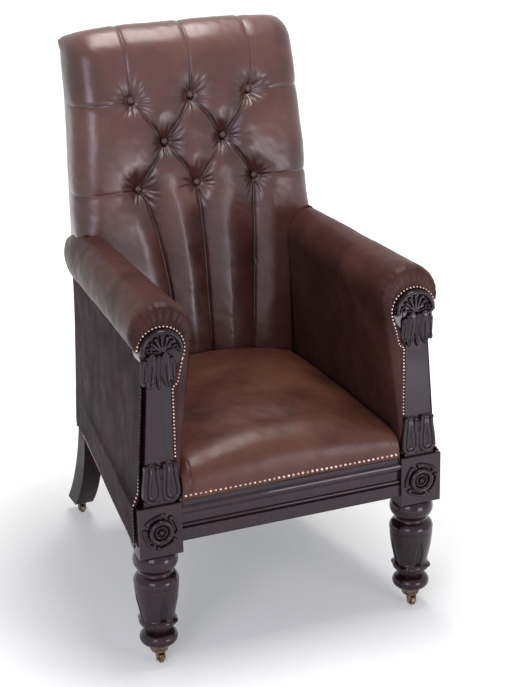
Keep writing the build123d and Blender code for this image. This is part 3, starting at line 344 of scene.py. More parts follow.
def leather(name, dark, middle, light, rough, shine, coat):
    made, tree, shader = material(name)
    space = coordinates(tree)
    tree.links.new(leather_colour(tree, space, dark, middle, light), shader.inputs["Base Color"])
    tree.links.new(leather_surface(tree, space), shader.inputs["Normal"])
    patches = noise(tree, space, scale=22.0, detail=4.0, rough=0.6)
    vary_roughness(tree, shader, patches, (0.3, rough - 0.07), (0.7, rough + 0.10))
    set_sockets(shader, {
        "Specular IOR Level": shine,
        "Specular Tint": (1.0, 0.92, 1.0, 1),
        "Coat Weight": coat,
        "Coat Roughness": 0.27,
    })
    return made


def polished_wood(name, dark, light, rough=0.34, scale=(16, 16, 2.2), coat=0.45):
    made, tree, shader = material(name)
    between = tuple((a + b) / 2 for a, b in zip(dark, light))
    grain = noise(tree, coordinates(tree, scale), scale=5.0, detail=8.0, rough=0.65, distortion=1.4)
    base = ramp(tree, grain, (0.32, dark), (0.55, between), (0.78, light))
    wear = noise(tree, coordinates(tree), scale=9.0, detail=4.0, rough=0.6)
    handled = ramp(tree, wear, (0.35, (0.55, 0.50, 0.52)), (0.65, WHITE))
    base = mix(tree, "MULTIPLY", base, handled, factor=0.6)
    # nearly black with painted shade in the recesses that the mesh marks
    base = mix(tree, "MIX", base, times(dark, 0.3), factor=attribute(tree, "fold"))
    tree.links.new(base, shader.inputs["Base Color"])
    tree.links.new(bump(tree, grain, strength=0.06, distance=0.0006), shader.inputs["Normal"])
    vary_roughness(tree, shader, wear, (0.3, rough - 0.05), (0.7, rough + 0.12))
    set_sockets(shader, {
        "Specular IOR Level": 0.14,
        "Specular Tint": (1.0, 0.85, 1.0, 1),
        "Coat Weight": coat,
        "Coat Roughness": 0.07,
        "Coat Tint": (0.96, 0.90, 1.0, 1),
    })
    return made


def metal(name, colour, dull, rough):
    made, tree, shader = material(name)
    patches = noise(tree, coordinates(tree), scale=120.0, detail=5.0, rough=0.7)
    tree.links.new(ramp(tree, patches, (0.36, dull), (0.60, colour)), shader.inputs["Base Color"])
    vary_roughness(tree, shader, patches, (0.36, rough + 0.18), (0.62, rough))
    set_sockets(shader, {"Metallic": 1.0})
    tree.links.new(bump(tree, patches, strength=0.08, distance=0.0004), shader.inputs["Normal"])
    return made


def cloth(name, dark, light, threads):
    made, tree, shader = material(name)
    waves = []
    for turn in ((0, 0, 0), (0, 0, QUARTER)):
        wave = tree.nodes.new("ShaderNodeTexWave")
        set_sockets(wave, {"Scale": threads, "Distortion": 0.6})
        tree.links.new(coordinates(tree, turn=turn), wave.inputs["Vector"])
        waves.append(wave.outputs["Fac"])
    weave = maths(tree, "MULTIPLY", *waves)
    fuzz = noise(tree, coordinates(tree), scale=60.0, detail=5.0, rough=0.7)
    tone = maths(tree, "MULTIPLY", maths(tree, "ADD", weave, fuzz), 0.6)
    tree.links.new(ramp(tree, tone, (0.25, dark), (0.75, light)), shader.inputs["Base Color"])
    set_sockets(shader, {"Roughness": 0.88})
    tree.links.new(bump(tree, weave, strength=0.35, distance=0.0008), shader.inputs["Normal"])
    return made


HIDE = leather(
    "hide", (0.032, 0.009, 0.009), (0.068, 0.022, 0.018), (0.125, 0.050, 0.036),
    rough=0.34, shine=0.44, coat=0.30,
)
SEAT_HIDE = leather(
    "seat_hide", (0.040, 0.013, 0.009), (0.076, 0.027, 0.018), (0.115, 0.048, 0.029),
    rough=0.36, shine=0.22, coat=0.06,
)
ARM_HIDE = leather(
    "arm_hide", (0.032, 0.012, 0.011), (0.054, 0.021, 0.018), (0.080, 0.035, 0.028),
    rough=0.42, shine=0.09, coat=0.04,
)
SIDE_HIDE = leather(
    "side_hide", (0.018, 0.009, 0.012), (0.034, 0.018, 0.023), (0.056, 0.034, 0.040),
    rough=0.60, shine=0.03, coat=0.0,
)
MAHOGANY = polished_wood("mahogany", (0.004, 0.002, 0.004), (0.034, 0.009, 0.012), rough=0.32)
CARVED = polished_wood("carved_mahogany", (0.004, 0.002, 0.003), (0.024, 0.009, 0.011), coat=0.4)
DULL_WOOD = polished_wood("dull_mahogany", (0.007, 0.004, 0.006), (0.030, 0.012, 0.014), rough=0.42, coat=0.0)
BEECH = polished_wood(
    "beech", (0.38, 0.26, 0.15), (0.60, 0.46, 0.30), rough=0.55, scale=(18, 3, 18), coat=0.0,
)
NAIL_BRASS = metal("nail_brass", (0.66, 0.52, 0.47), (0.30, 0.19, 0.15), rough=0.26)
OLD_BRASS = metal("old_brass", (0.27, 0.19, 0.12), (0.05, 0.033, 0.026), rough=0.34)
STEEL = metal("dull_steel", (0.45, 0.44, 0.43), (0.20, 0.19, 0.18), rough=0.42)
JUTE = cloth("jute", (0.26, 0.19, 0.11), (0.55, 0.44, 0.30), threads=420.0)
SCRIM = cloth("scrim", (0.22, 0.17, 0.12), (0.42, 0.34, 0.25), threads=300.0)
CAMBRIC = cloth("cambric", (0.018, 0.018, 0.018), (0.050, 0.050, 0.052), threads=600.0)


# Places that the leather pieces share: the foot of the arms, the lower edge of the seat and the
# back, the ledge under the roll of the arms, and the depth of the front face of the stiles
ARM_FOOT = 352.0
LOWER_EDGE = 346.0
LEDGE = 626.0
STILE_FACE = 543.0


# Tufted back
ROW1, ROW2, ROW3 = 996.0, 909.0, 819.0
PITCH = 127.0
HALF = PITCH / 2
ROLL_FROM, ROLL_END = 1085.0, 1101.0
BACK_TOP = 1138.3
BACK_DEEP = 48.0
# Depth of the middle of the face at each height
FACE_CURVE = np.polyfit([ARM_FOOT, 640, ROW3, ROW2, ROW1, ROLL_FROM], [431, 440, 449, 459, 471, 494], 4)
# Places of the buttons: across, and height
BUTTONS = [(s * PITCH, row) for row in (ROW1, ROW3) for s in (-1, 0, 1)]
BUTTONS += [(-HALF, ROW2), (HALF, ROW2)]


def back_half_width(z):
    # Narrow between the arms, wider over them
    between = 199.2
    over = np.interp(z, [744, ROW3, ROW1, ROLL_FROM, 1118], [257, 254, 245, 242, 242])
    return between + (over - between) * smooth_step(628, 646, z)


def diamond_pleats():
    # From each button of the top and bottom rows to its neighbours in the middle row
    for row in (ROW1, ROW3):
        for outer in (-1, 0, 1):
            for inner in (-1, 1):
                if abs(outer - inner / 2) > 1:
                    continue
                a = (outer * PITCH, row)
                b = (inner * HALF, ROW2)
                waist = ((a[0] + b[0]) / 2 + 2 * outer, (a[1] + b[1]) / 2 + 2)
                yield dict(
                    points=[a, waist, b], depths=[17, 9.5, 17], width=43,
                    crease=3.0, fold=0.9, lean=0.25 * np.sign(row - ROW2),
                )


def top_pleats():
    # From the top buttons up and over the roll
    for side in (-1, 0, 1):
        top = side * 133.0
        points = [(side * PITCH, ROW1), (top, 1052), (top, ROLL_FROM), (top, 1140), (top, 1200)]
        yield dict(points=points, depths=[12, 3.2, 2.6, 2.4, 1.5], width=17, crease=2.2, fold=0.85, lean=0.35)


def side_pleats():
    # From the outer buttons out to the edges
    places = ((PITCH, 0), (165, 1), (240, -3), (330, -7))
    for side in (-1, 1):
        for row, lean in ((ROW1, 0.25), (ROW3, -0.25)):
            yield dict(
                points=[(side * x, row + up) for x, up in places], depths=[12, 3.6, 2.4, 1.6],
                width=18, crease=2.2, fold=0.8, lean=lean * side,
            )


def channels():
    # From the lowest buttons down to the seat, drawn in towards its middle
    left = [(-PITCH, ROW3), (-112, 795), (-97, 735), (-82, 662), (-73, 598), (-67, 480), (-65, ARM_FOOT)]
    centre = [(0, ROW3), (2, 782), (6, 700), (9, 618), (13, 461), (14, ARM_FOOT)]
    right = [(PITCH, ROW3), (122, 767), (118, 640), (108, 480), (104, ARM_FOOT)]
    for points, depths, lean in (
        (left, [22, 18, 15, 14, 12, 11, 8], -0.20),
        (centre, [22, 17, 14, 13, 11, 8], 0.10),
        (right, [22, 17, 14, 11, 8], 0.15),
    ):
        yield dict(points=points, depths=depths, width=56, crease=3.5, fold=1.0, lean=lean)


def pleat(x, z, points, depths, width, crease, fold, lean):
    # How deep a broad dip and the narrow crease in it are, and how dark the painted shade in the crease is
    full = 6.0
    dist, share, side, stops = path_distance(x, z, points)
    depth = np.interp(share, stops, depths)
    broad = np.clip(1 - dist / (width * (1 + lean * side)), 0, 1) ** 1.8
    narrow = np.exp(-(dist / 2.6) ** 1.6)
    dip = depth * broad + crease * np.clip(depth / full, 0.2, 1) * narrow
    return dip, bell(dist, 1.5) * fold * np.clip(depth / full, 0.25, 1)


def tuft(x, z, button, seed):
    # The dip round a button, the ring of painted shade at its edge, and the puckers that fan out from it
    r = np.hypot(x - button[0], z - button[1])
    turn = np.arctan2(z - button[1], x - button[0])
    dip = 17 * np.exp(-(r / 17) ** 1.3) + 9.5 * np.exp(-(r / 40) ** 1.9)
    dark = 0.75 * bell(r - 8.5, 1.8)
    dice = np.random.RandomState(seed)
    rays = 17
    width = 1.7 + 0.055 * r
    puckers = np.zeros(x.shape)
    for ray in range(rays):
        angle = math.tau * (ray + dice.uniform(0.1, 0.9)) / rays
        length = dice.uniform(34, 66)
        strength = dice.uniform(1.4, 3.4)
        aside = r * np.sin(np.abs(np.angle(np.exp(1j * (turn - angle)))).clip(0, QUARTER))
        envelope = smooth_step(7, 14, r) * (1 - smooth_step(0.35 * length, length, r))
        ahead = np.cos(turn - angle) > 0
        puckers += strength * bell(aside, width) * envelope * ahead
    return dip, dark, puckers


def back_dips(x, z):
    # Depth of the pleats and tufts, how dark the painted shade in each crease is, and the small wrinkles
    blend = 3.0
    dips = []
    folds = np.zeros(x.shape)
    wrinkle = 1.5 * lattice_noise(x, z, 58, 3) + 0.30 * lattice_noise(x + 0.6 * z, z, 15, 5)
    for line in (*diamond_pleats(), *top_pleats(), *side_pleats(), *channels()):
        dip, dark = pleat(x, z, **line)
        dips.append(dip)
        folds = np.maximum(folds, dark)
    for k, button in enumerate(BUTTONS):
        dip, dark, puckers = tuft(x, z, button, 100 + k)
        dips.append(dip)
        folds = np.maximum(folds, dark)
        wrinkle -= puckers
    total = np.sum([np.maximum(dip, 0) ** blend for dip in dips], axis=0) ** (1 / blend)
    return total, folds, wrinkle


def back_columns(z, turn, room):
    # Each row's points: place across, depth behind the middle of the face, run along the leather,
    # and how far round the corner (to 1) and along the side (to 2) the point is
    half = back_half_width(z)
    lean = 1 - np.cos(np.minimum(turn, QUARTER))
    rear = np.interp(z, [600, 744, ROLL_FROM], [236, 236, 232.8])
    rear = np.where(z < 640, np.minimum(rear, half), rear)
    rear = rear + 3.5 * smooth_step(1000, ROLL_FROM, z) - 3 * lean
    half = half - 7 * lean
    corner = 11 + 36 * smooth_step(650, 790, z)
    corner_depth = corner * 0.95
    middle = half - corner
    zero = np.zeros(z.size)

    def crown(x):
        return 7 * (x / 205) ** 3

    sides = []
    for share in np.linspace(0, 1, 26)[1:]:
        a = share * QUARTER
        x = middle + corner * math.sin(a)
        sides.append((x, crown(x) + corner_depth * (1 - math.cos(a)), middle + corner * a, share + zero))
    start = crown(half) + corner_depth
    reach = room - start
    for share in np.linspace(0, 1, 36)[1:]:
        x = half + (rear - half) * share + 3.5 * math.sin(math.pi * share)
        run = middle + corner * QUARTER + reach * share
        sides.append((x, start + reach * share, run, 1 + share + zero))
    columns = [(-x, back, -run, edge) for x, back, run, edge in reversed(sides)]
    columns += [(middle * u, crown(middle * abs(u)), middle * u, zero) for u in np.linspace(-1, 1, 251)]
    columns += sides
    return [np.stack(values, 1) for values in zip(*columns)]


def make_back():
    lean_back = 0.24
    heights = np.concatenate([np.arange(LOWER_EDGE, ROLL_FROM, 1.9), [ROLL_FROM]])
    turns = np.linspace(0, math.pi, 86)[1:]
    z_rows = np.concatenate([heights, np.full(turns.size, ROLL_FROM)])
    turn_rows = np.concatenate([np.zeros(heights.size), turns])
    face = np.polyval(FACE_CURVE, z_rows)
    rear = STILE_FACE + 57.2 * smooth_step(628, 640, z_rows)
    x, back, run, edge = back_columns(z_rows, turn_rows, rear - face)
    z, _ = rows_and_columns(z_rows, x[0])
    turn, _ = rows_and_columns(turn_rows, x[0])
    # the top sinks a little towards the corners, and its roll ends lower behind
    top = BACK_TOP - 10 * (np.clip(np.abs(x), 0, 240) / 228) ** 3.2
    top = top - 14 * (1 - np.cos(np.clip(edge, 0, 1) * QUARTER))
    rise = top - ROLL_FROM
    fall = top - ROLL_END
    height = np.where(turn > QUARTER, top - fall * (1 - np.sin(turn)), z + rise * np.sin(turn))
    depth = face[:, None] + back + lean_back * rise * np.sin(np.minimum(turn, QUARTER))
    depth = np.minimum(depth + BACK_DEEP * (1 - np.cos(turn)), rear[:, None])
    grid = np.stack([x, depth, height], -1)
    upper = z_rows > 700
    grid[upper] = relaxed(relaxed(grid, 50, 0), 12, 1)[upper]
    length = z + turn * BACK_DEEP * 1.02
    dips, folds, wrinkle = back_dips(run, length)
    # pleats die away towards the back of the sides and of the top
    fade = 1 - smooth_step(45, 150, back) * 0.7
    fade *= 1 - smooth_step(1.9, 2.8, turn)
    fade *= 1 - smooth_step(0.5, 1.1, turn) * smooth_step(0.4, 1.0, edge)
    n = outward(grid, (z_rows.size // 2, x.shape[1] // 2), 1, -1)
    grid = grid + n * ((wrinkle - dips) * fade)[..., None]
    # paler on the crests and higher up: wear and a painted highlight
    worn = 0.50 - dips / 14 + 0.45 * lattice_noise(run, length, 70, 9)
    worn = np.clip(worn, 0, 1) * (0.5 + 0.5 * smooth_step(600, 900, length))
    # the painted shade in the creases and round the buttons goes to the material here
    obj = grid_object("tufted_back", grid, HIDE, worn=worn, fold=folds * fade)
    chair_piece(obj, "leather", "back_cushion", pad=0.9)


def make_buttons():
    # Domed heads: radius and place along the button's axis of each ring
    rings = [(0.0, -6.2), (3.0, -5.9), (5.6, -4.9), (7.4, -3.0), (8.1, -0.6), (7.6, 1.4), (6.0, 2.6)]
    around = 24
    sunk = 26
    vertices = []
    faces = []
    for x, z in BUTTONS:
        depth = float(np.polyval(FACE_CURVE, z)) + sunk
        start = len(vertices)
        for r, out in rings:
            for k in range(around):
                a = math.tau * k / around
                vertices.append((x + r * math.cos(a), depth + out, z + r * math.sin(a)))
        for ring in range(len(rings) - 1):
            for k in range(around):
                a = start + ring * around + k
                b = start + ring * around + (k + 1) % around
                faces.append([a, a + around, b + around, b])
    obj = new_object("back_button_heads", to_metres(vertices), faces, HIDE)
    chair_piece(obj, "leather", "back_buttons")


# The arms: sizes in pairs are those at the front and at the back of the roll
FAN_X, FAN_Z = 255.0, 646.0
FAN_EDGE = 40.5
ARM_FRONT, ARM_BACK = 7.0, 480.0
ROLL_X = (250, 237)
ROLL_Z = (670, 681)
ROLL_RISE = (63.5, 60)
ROLL_HALF = (62, 48)
INNER_FOOT = (230, 198)
INNER_BOW = 1.15


def along(pair, depth):
    front, back = pair
    return front + (back - front) * (depth - ARM_FRONT) / (ARM_BACK - ARM_FRONT)


def arm_section(depth, inset, tail):
    # Outline across the arm: up its inner side, over the roll, in under it and down the outer side
    held = min(depth, ARM_BACK)
    shrink = tail * 14 + inset
    rise = along(ROLL_RISE, held) - shrink
    half = along(ROLL_HALF, held) - shrink
    x = along(ROLL_X, depth)
    z = along(ROLL_Z, held) - tail * 12
    inner = x - half
    foot_in = along(INNER_FOOT, depth) + inset * 0.35
    foot_out = 236.7 - 0.0526 * (depth - 42)
    under = math.radians(78)
    low = z - LEDGE

    def reach(turn):
        # the outer side of the roll narrows towards the back
        return half if math.cos(turn) < 0 else half + along((0, -9), held)

    points = []
    for t in np.linspace(0, 1, 70):
        points.append((foot_in + (inner - foot_in) * t ** INNER_BOW, ARM_FOOT + (z - ARM_FOOT) * t))
    for t in np.linspace(0, 1, 61)[1:]:
        a = math.pi * (1 - t)
        points.append((x + reach(a) * math.cos(a), z + rise * math.sin(a)))
    for t in np.linspace(0, 1, 20)[1:]:
        a = t * under
        points.append((x + reach(a) * math.cos(a), z - low * math.sin(a) / math.sin(under)))
    end = points[-1]
    for t in np.linspace(0, 1, 5)[1:]:
        points.append((end[0] + (foot_out - end[0]) * t, LEDGE + 0.2))
    for t in np.linspace(0, 1, 10)[1:]:
        points.append((foot_out, LEDGE - (LEDGE - ARM_FOOT) * t))
    return np.array(points)


def arm_rows():
    # The rounded nose, the roll as far as the back, and the tail that narrows beside it
    nose = [(1 - math.cos(t), 1 - math.sin(t)) for t in np.linspace(0, QUARTER, 12)]
    depths = [np.arange(34, 426, 4.5), np.arange(427, 462, 1.5), np.arange(464, 482, 4)]
    places = [(ARM_FRONT + 23 * back, 12 * inset, 0.0) for back, inset in nose]
    places += [(depth, 0.0, 0.0) for depth in np.concatenate(depths)]
    places += [(depth, 0.0, ((depth - ARM_BACK) / 100) ** 1.5) for depth in np.arange(484, 581, 6)]
    rows = []
    for depth, inset, tail in places:
        points = arm_section(depth, inset, tail)
        rows.append(np.stack([points[:, 0], np.full(len(points), depth), points[:, 1]], 1))
    return np.stack(rows)


def front_goal(x, z):
    # Where the leather of the flat front meets the wood: at the fan's rim, or the facing's edge
    rim_foot, rim_from = 624.0, 600.0
    facing_edge = 238.7
    a = math.atan2(max(z, rim_foot) - FAN_Z, x - FAN_X)
    rim_x = FAN_X + FAN_EDGE * math.cos(a)
    rim_z = FAN_Z + FAN_EDGE * math.sin(a)
    if z > rim_foot:
        return rim_x, rim_z
    edge_x = max(x, facing_edge)
    share = max(0.0, (z - rim_from) / (rim_foot - rim_from))
    return edge_x + (rim_x - edge_x) * share, z + (rim_z - rim_foot) * share


def arm_front(outline):
    rows = []
    for share in np.linspace(0, 1, 12)[1:]:
        row = outline.copy()
        for k, (x, _, z) in enumerate(outline):
            goal_x, goal_z = front_goal(x, z)
            row[k, 0] = x + (goal_x - x) * share
            row[k, 2] = z + (goal_z - z) * share
        row[:, 1] = ARM_FRONT - 2.2 * math.sin(math.pi * min(share * 1.1, 1)) + 0.8 * share
        rows.append(row)
    return np.stack(rows[::-1])


def arm_end(outline):
    # The tail's roll is drawn together behind
    middle_x, middle_z = 237.0, 676.0
    rows = []
    for turn in np.linspace(0, QUARTER, 10)[1:]:
        row = outline.copy()
        roll = row[:, 2] > LEDGE + 1
        row[roll, 0] += (middle_x - row[roll, 0]) * (1 - math.cos(turn))
        row[roll, 2] += (middle_z - row[roll, 2]) * (1 - math.cos(turn))
        row[:, 1] += 5 * math.sin(turn)
        rows.append(row)
    return np.stack(rows)


def gathers(x, depth, z):
    # The folds round the fan: 0 on their crests and 1 in between, and how strong they are
    turn = np.arctan2(z - FAN_Z, x - FAN_X)
    rows, _ = rows_and_columns(np.arange(x.shape[0], dtype=float), x[0])
    jitter = 0.35 * lattice_noise(turn * 20, 0 * turn + 3, 3.1, 12)
    valley = 1 - np.abs(np.sin(turn * 17 + jitter * 2.2)) ** 0.55
    ragged = 14 * lattice_noise(turn * 30, 0 * turn, 4, 4)
    ring = np.clip(rows / 4.0, 0, 1) * (1 - smooth_step(12, 40, depth + ragged))
    over = np.clip(smooth_step(-0.55, -0.1, turn) + (turn < -2.6), 0, 1) * (z > 612)
    return valley, ring * over


def back_face(z):
    return np.polyval(FACE_CURVE, np.clip(z, ARM_FOOT, 900)) + 6


def clear_of_back(grid):
    # Beside and under the back the arm keeps clear of it, and its foot ends at the stile
    wide, taper, taper_from = 250.5, 0.115, 441
    narrow = 200
    x, depth, z = np.moveaxis(grid, -1, 0)
    over = z > LEDGE + 1
    beside = over & (depth > back_face(z)) & (x < wide)
    grid[..., 0] = np.where(beside, wide - taper * (depth - taper_from), x)
    below = ~over & (depth > back_face(z) - 2) & (x < narrow)
    grid[..., 0] = np.where(below, narrow + 0.2, x)
    grid[..., 1] = np.where(~over, np.minimum(depth, STILE_FACE), depth)


def make_arm():
    body = arm_rows()
    front = arm_front(body[0])
    grid = np.concatenate([front, body, arm_end(body[-1])])
    x, depth, z = np.moveaxis(grid, -1, 0)
    on_the_roll = (30, 100)
    n = outward(grid, on_the_roll, 2, 1)
    valley, strength = gathers(x, depth, z)
    soft = 0.9 * lattice_noise(depth, z * 1.1 + x, 60, 21) + 0.35 * lattice_noise(depth, z - x, 19, 22)
    soft = soft * smooth_step(25, 60, depth)
    soft[:len(front) + 1] = 0
    grid = grid + n * (soft - 1.7 * valley * strength)[..., None]
    clear_of_back(grid)
    x, depth, z = np.moveaxis(grid, -1, 0)
    # painted shade in the valleys of the gathers round the fan
    dark = valley ** 3 * strength * 0.75
    # paler on the top of the roll: wear and a painted highlight
    worn = np.clip(0.35 + 0.5 * lattice_noise(depth, z + x, 55, 31), 0, 1) * smooth_step(640, 720, z)
    right = grid_object("arm_pad_leather_right", grid, ARM_HIDE, flip=True, fold=dark, worn=worn)
    chair_pair(right, "leather", "arm_pad", pad=0.9)


# The seat
SEAT_FRONT, SEAT_REAR = 5.0, 432.0
SEAT_SPRING = 372.0
SEAT_OVER = 72.0
SEAT_BULGE = 2.4


def seat_half_width(depth, z):
    # To the inner sides of the arms, less the room between
    foot = along(INNER_FOOT, depth)
    top = along(ROLL_X, depth) - along(ROLL_HALF, depth)
    share = (z - ARM_FOOT) / (along(ROLL_Z, depth) - ARM_FOOT)
    return foot + (top - foot) * np.clip(share, 0, 1) ** INNER_BOW - 0.4


def seat_top(depth, u):
    # Height of the top: its edge beside the arms, the crown over it, and the soft corner
    edge = np.interp(depth, [5, 17, 40, 61, 196, 319, 463], [398, 401, 408, 412, 420, 430, 430])
    crown = np.interp(depth, [5, 17, 60, 130, 210, 320, 428], [8, 13, 27, 38, 43, 40, 33])
    return edge + crown * (1 - abs(u) ** 2.1) - 9 * max(0, (abs(u) - 0.90) / 0.10) ** 2.0


def seat_profile(u):
    # Depths and heights: a straight rise, a round over the front edge, then the crowned top
    points = []
    for z in np.linspace(LOWER_EDGE, SEAT_SPRING, 12):
        share = (z - LOWER_EDGE) / (SEAT_SPRING - LOWER_EDGE)
        points.append((SEAT_FRONT - SEAT_BULGE * math.sin(QUARTER * share), z))
    front = SEAT_FRONT - SEAT_BULGE
    crest = seat_top(SEAT_FRONT + SEAT_OVER, u)
    for a in np.linspace(0, QUARTER, 30)[1:]:
        depth = front + (SEAT_OVER + SEAT_BULGE) * (1 - math.cos(a)) ** 1.05
        points.append((depth, SEAT_SPRING + (crest - SEAT_SPRING) * math.sin(a) ** 0.92))
    for depth in np.linspace(SEAT_FRONT + SEAT_OVER, SEAT_REAR, 140)[1:]:
        points.append((depth, seat_top(depth, u)))
    return points


def seat_grid():
    us = np.linspace(-1, 1, 221)
    depth, z = np.array([seat_profile(u) for u in us]).T
    side_gap = 0.2
    half = seat_half_width(depth, np.minimum(z, 400)) - side_gap
    half = half - 4.0 * np.maximum(0.0, 1 - depth / 24) ** 1.5
    grid = np.stack([half * us, depth, z], -1)
    # the leather is tucked down beside the arms
    drops = np.linspace(0, 26, 8)[1:]
    left = grid[:, :1] + np.array([(-side_gap, 0, -drop) for drop in drops[::-1]])
    right = grid[:, -1:] + np.array([(side_gap, 0, -drop) for drop in drops])
    grid = np.concatenate([left, grid, right], 1)
    for _ in range(25):
        mean = (grid[:-2] + grid[2:]) / 2
        share = smooth_step(350, 380, grid[1:-1, :, 2])[..., None] * (grid[1:-1, :, 1:2] < 140)
        grid[1:-1, :, 1:] += ((mean - grid[1:-1]) * share * 0.5)[..., 1:]
    return grid


def make_seat():
    grid = seat_grid()
    x, depth, z = np.moveaxis(grid, -1, 0)
    on_the_top = (100, 110)
    n = outward(grid, on_the_top, 2, 1)
    soft = 1.1 * lattice_noise(x, depth, 64, 41) + 0.35 * lattice_noise(x + 0.4 * depth, depth, 21, 42)
    # slack ripples that fan out from the front corners
    for side in (-1, 1):
        away = np.hypot(x - side * 214, (depth - 8) + (400 - np.minimum(z, 400)))
        turn = np.arctan2(depth + 4, side * 214 - x)
        soft = soft + 0.35 * np.cos(7 * turn + side) * bell(away, 55) * smooth_step(4, 16, away)
    # one thin pleat in the left corner
    fold = bell(x + 210 - 0.10 * (z - LOWER_EDGE), 1.4) * (depth < 34) * smooth_step(350, 362, z)
    grid = grid + n * (soft - 1.1 * fold)[..., None]
    # paler in patches and along the front edge: wear and a painted highlight
    worn = np.clip(0.25 + 0.55 * lattice_noise(x, depth, 80, 44) + 0.12 * bell(depth - 26, 18), 0, 1)
    across = np.abs(x) / np.abs(x).max(axis=1, keepdims=True)
    # painted shade in the gap beside the arms, added to the painted shade of the thin pleat
    gap = smooth_step(0.955, 0.995, across) * (depth > 18) * 0.6
    dark = np.clip(fold * 0.8 + gap, 0, 1)
    obj = grid_object("seat_leather", grid, SEAT_HIDE, fold=dark, worn=worn)
    chair_piece(obj, "leather", "seat_cushion", pad=0.95)


# Side and back leather
HIDE_THICK = 2.4
SIDE_LOW, SIDE_HIGH = 262.0, 625.0
SIDE_FRONT, SIDE_RUN = 16.0, 648.0
REAR_HALF = 230.5
STILE_REAR = 598.0
STILE_BEND = 600.0


def rear_depth(z):
    # Back edge of the stile, which bends back into the sabre leg
    below = STILE_BEND - np.asarray(z, float)
    bent = STILE_REAR + below * 0.0625 + (below / 100) ** 2 * 3.05
    return np.where(below < 0, STILE_REAR, bent)


def side_x(z, depth):
    # The side turns in just above the front block, and runs straight back to the stile
    rear = 228
    heights = [SIDE_LOW, 341, 347, 355, 372, 420, SIDE_HIGH]
    front = np.interp(z, heights, [315, 315, 309, 304.5, 302, 299.5, 284])
    return front + (rear - front) * (depth - SIDE_FRONT) / SIDE_RUN


def thicken(obj):
    solid = obj.modifiers.new("thickness", "SOLIDIFY")
    solid.thickness = HIDE_THICK * MM
    solid.offset = -1.0


def make_side():
    heights = [np.linspace(SIDE_LOW, 338, 18), np.linspace(341, 390, 24), np.linspace(396, SIDE_HIGH, 52)]
    z, share = rows_and_columns(np.concatenate(heights), np.linspace(0, 1, 130))
    end = rear_depth(z) + 1.0
    depth = SIDE_FRONT + (end - SIDE_FRONT) * share
    full = np.sin(np.pi * share) * np.sin(np.pi * np.clip((z - 345) / 280, 0, 1))
    x = side_x(z, depth) + 2.5 + 2.2 * full
    x = x + 0.7 * lattice_noise(depth, z, 90, 51) * smooth_step(0.02, 0.10, share)
    # the nails at the foot pull the leather in between them
    x = x - bell(z - 266.5, 9) * np.abs(np.sin(depth * math.pi / 19)) * 0.5
    # painted shade under the ledge of the roll and along the rear edge
    fold = bell(z - SIDE_HIGH, 2.5) * 0.8 + bell(depth - end, 2.2) * 0.5
    grid = np.stack([x, depth, z], -1)
    right = grid_object("side_leather_right", grid, SIDE_HIDE, flip=True, fold=np.clip(fold, 0, 1))
    thicken(right)
    chair_pair(right, "side_leather", "outside_arm")


def make_outside_back():
    low, high = 250.0, 1100.0
    heights = np.concatenate([np.arange(low, STILE_BEND, 6.0), np.linspace(STILE_BEND, high, 84)])
    z, x = rows_and_columns(heights, np.linspace(-REAR_HALF, REAR_HALF, 120))
    u = np.abs(x) / REAR_HALF
    depth = rear_depth(z) + 2.5 + (1 - u ** 4) * np.sin(np.pi * (z - low) / (high - low)) * 2.0
    depth = depth + 0.6 * lattice_noise(x, z, 110, 61) * (1 - u ** 6)
    # painted shade along both side edges
    edge = bell(REAR_HALF - np.abs(x), 2.0) * 0.5
    obj = grid_object("outside_back_leather", np.stack([x, depth, z], -1), SIDE_HIDE, fold=edge)
    thicken(obj)
    chair_piece(obj, "side_leather", "outside_back")


def make_stile_strips():
    # Narrow strips up the sides of the stiles
    z, depth = rows_and_columns(np.linspace(LEDGE, 1095, 90), np.linspace(574, 600, 8))
    grid = np.stack([REAR_HALF + 0.1 + 0 * z, depth, z], -1)
    chair_pair(grid_object("stile_strip_right", grid, SIDE_HIDE, flip=True), "side_leather")


def tube(name, points, radius, look):
    curve = bpy.data.curves.new(name, "CURVE")
    curve.dimensions = "3D"
    curve.bevel_depth = radius * MM
    curve.bevel_resolution = 3
    spline = curve.splines.new("POLY")
    spline.points.add(len(points) - 1)
    for p, place in zip(spline.points, to_metres(points)):
        p.co = (*place, 1)
    curve.materials.append(look)
    return link(name, curve)


def welt_pair(name, points, radius):
    for side, sign in (("right", 1), ("left", -1)):
        line = [(sign * x, depth, z) for x, depth, z in points]
        chair_piece(tube(f"{name}_{side}", line, radius, SIDE_HIDE), "side_leather")


def make_welts():
    arm = [(float(side_x(622, depth)) + 4.2, depth, 623.5) for depth in np.linspace(24, 590, 60)]
    back = [(REAR_HALF + 1, float(rear_depth(z)) + 1.2, z) for z in np.linspace(252, 1096, 120)]
    welt_pair("arm_welt", arm, 1.9)
    welt_pair("back_welt", back, 1.8)


# Carving: reliefs as height fields over the flat faces of the wood
FACING_FACE = 6.0
LEG_X, LEG_DEPTH = 272.0, 40.0


def ridge(distance, half_width, height):
    return height * np.sqrt(np.clip(1 - (distance / half_width) ** 2, 0, 1))


def groove(distance, half_width, depth):
    return -depth * bell(distance, half_width)


def relief_pair(name, node_name, x_range, z_range, face, shape, step=0.7):
    # A mesh where the shape has height, with its rim sunk in the wood
    least, sunk = 0.02, 0.5
    x, z = np.meshgrid(*(np.arange(low, high + step, step) for low, high in (x_range, z_range)))
    height = shape(x, z)
    shown = height > least
    keep = shown[:-1, :-1] | shown[:-1, 1:] | shown[1:, 1:] | shown[1:, :-1]
    height = np.where(shown, height, -sunk)
    faces = quads(*x.shape)[keep.reshape(-1)]
    used = np.unique(faces)
    renumber = np.zeros(x.size, int)
    renumber[used] = np.arange(used.size)
    vertices = to_metres(np.stack([x, face - height, z], -1)).reshape(-1, 3)[used]
    chair_pair(new_object(f"{name}_right", vertices, renumber[faces], CARVED), "show_wood", node_name)


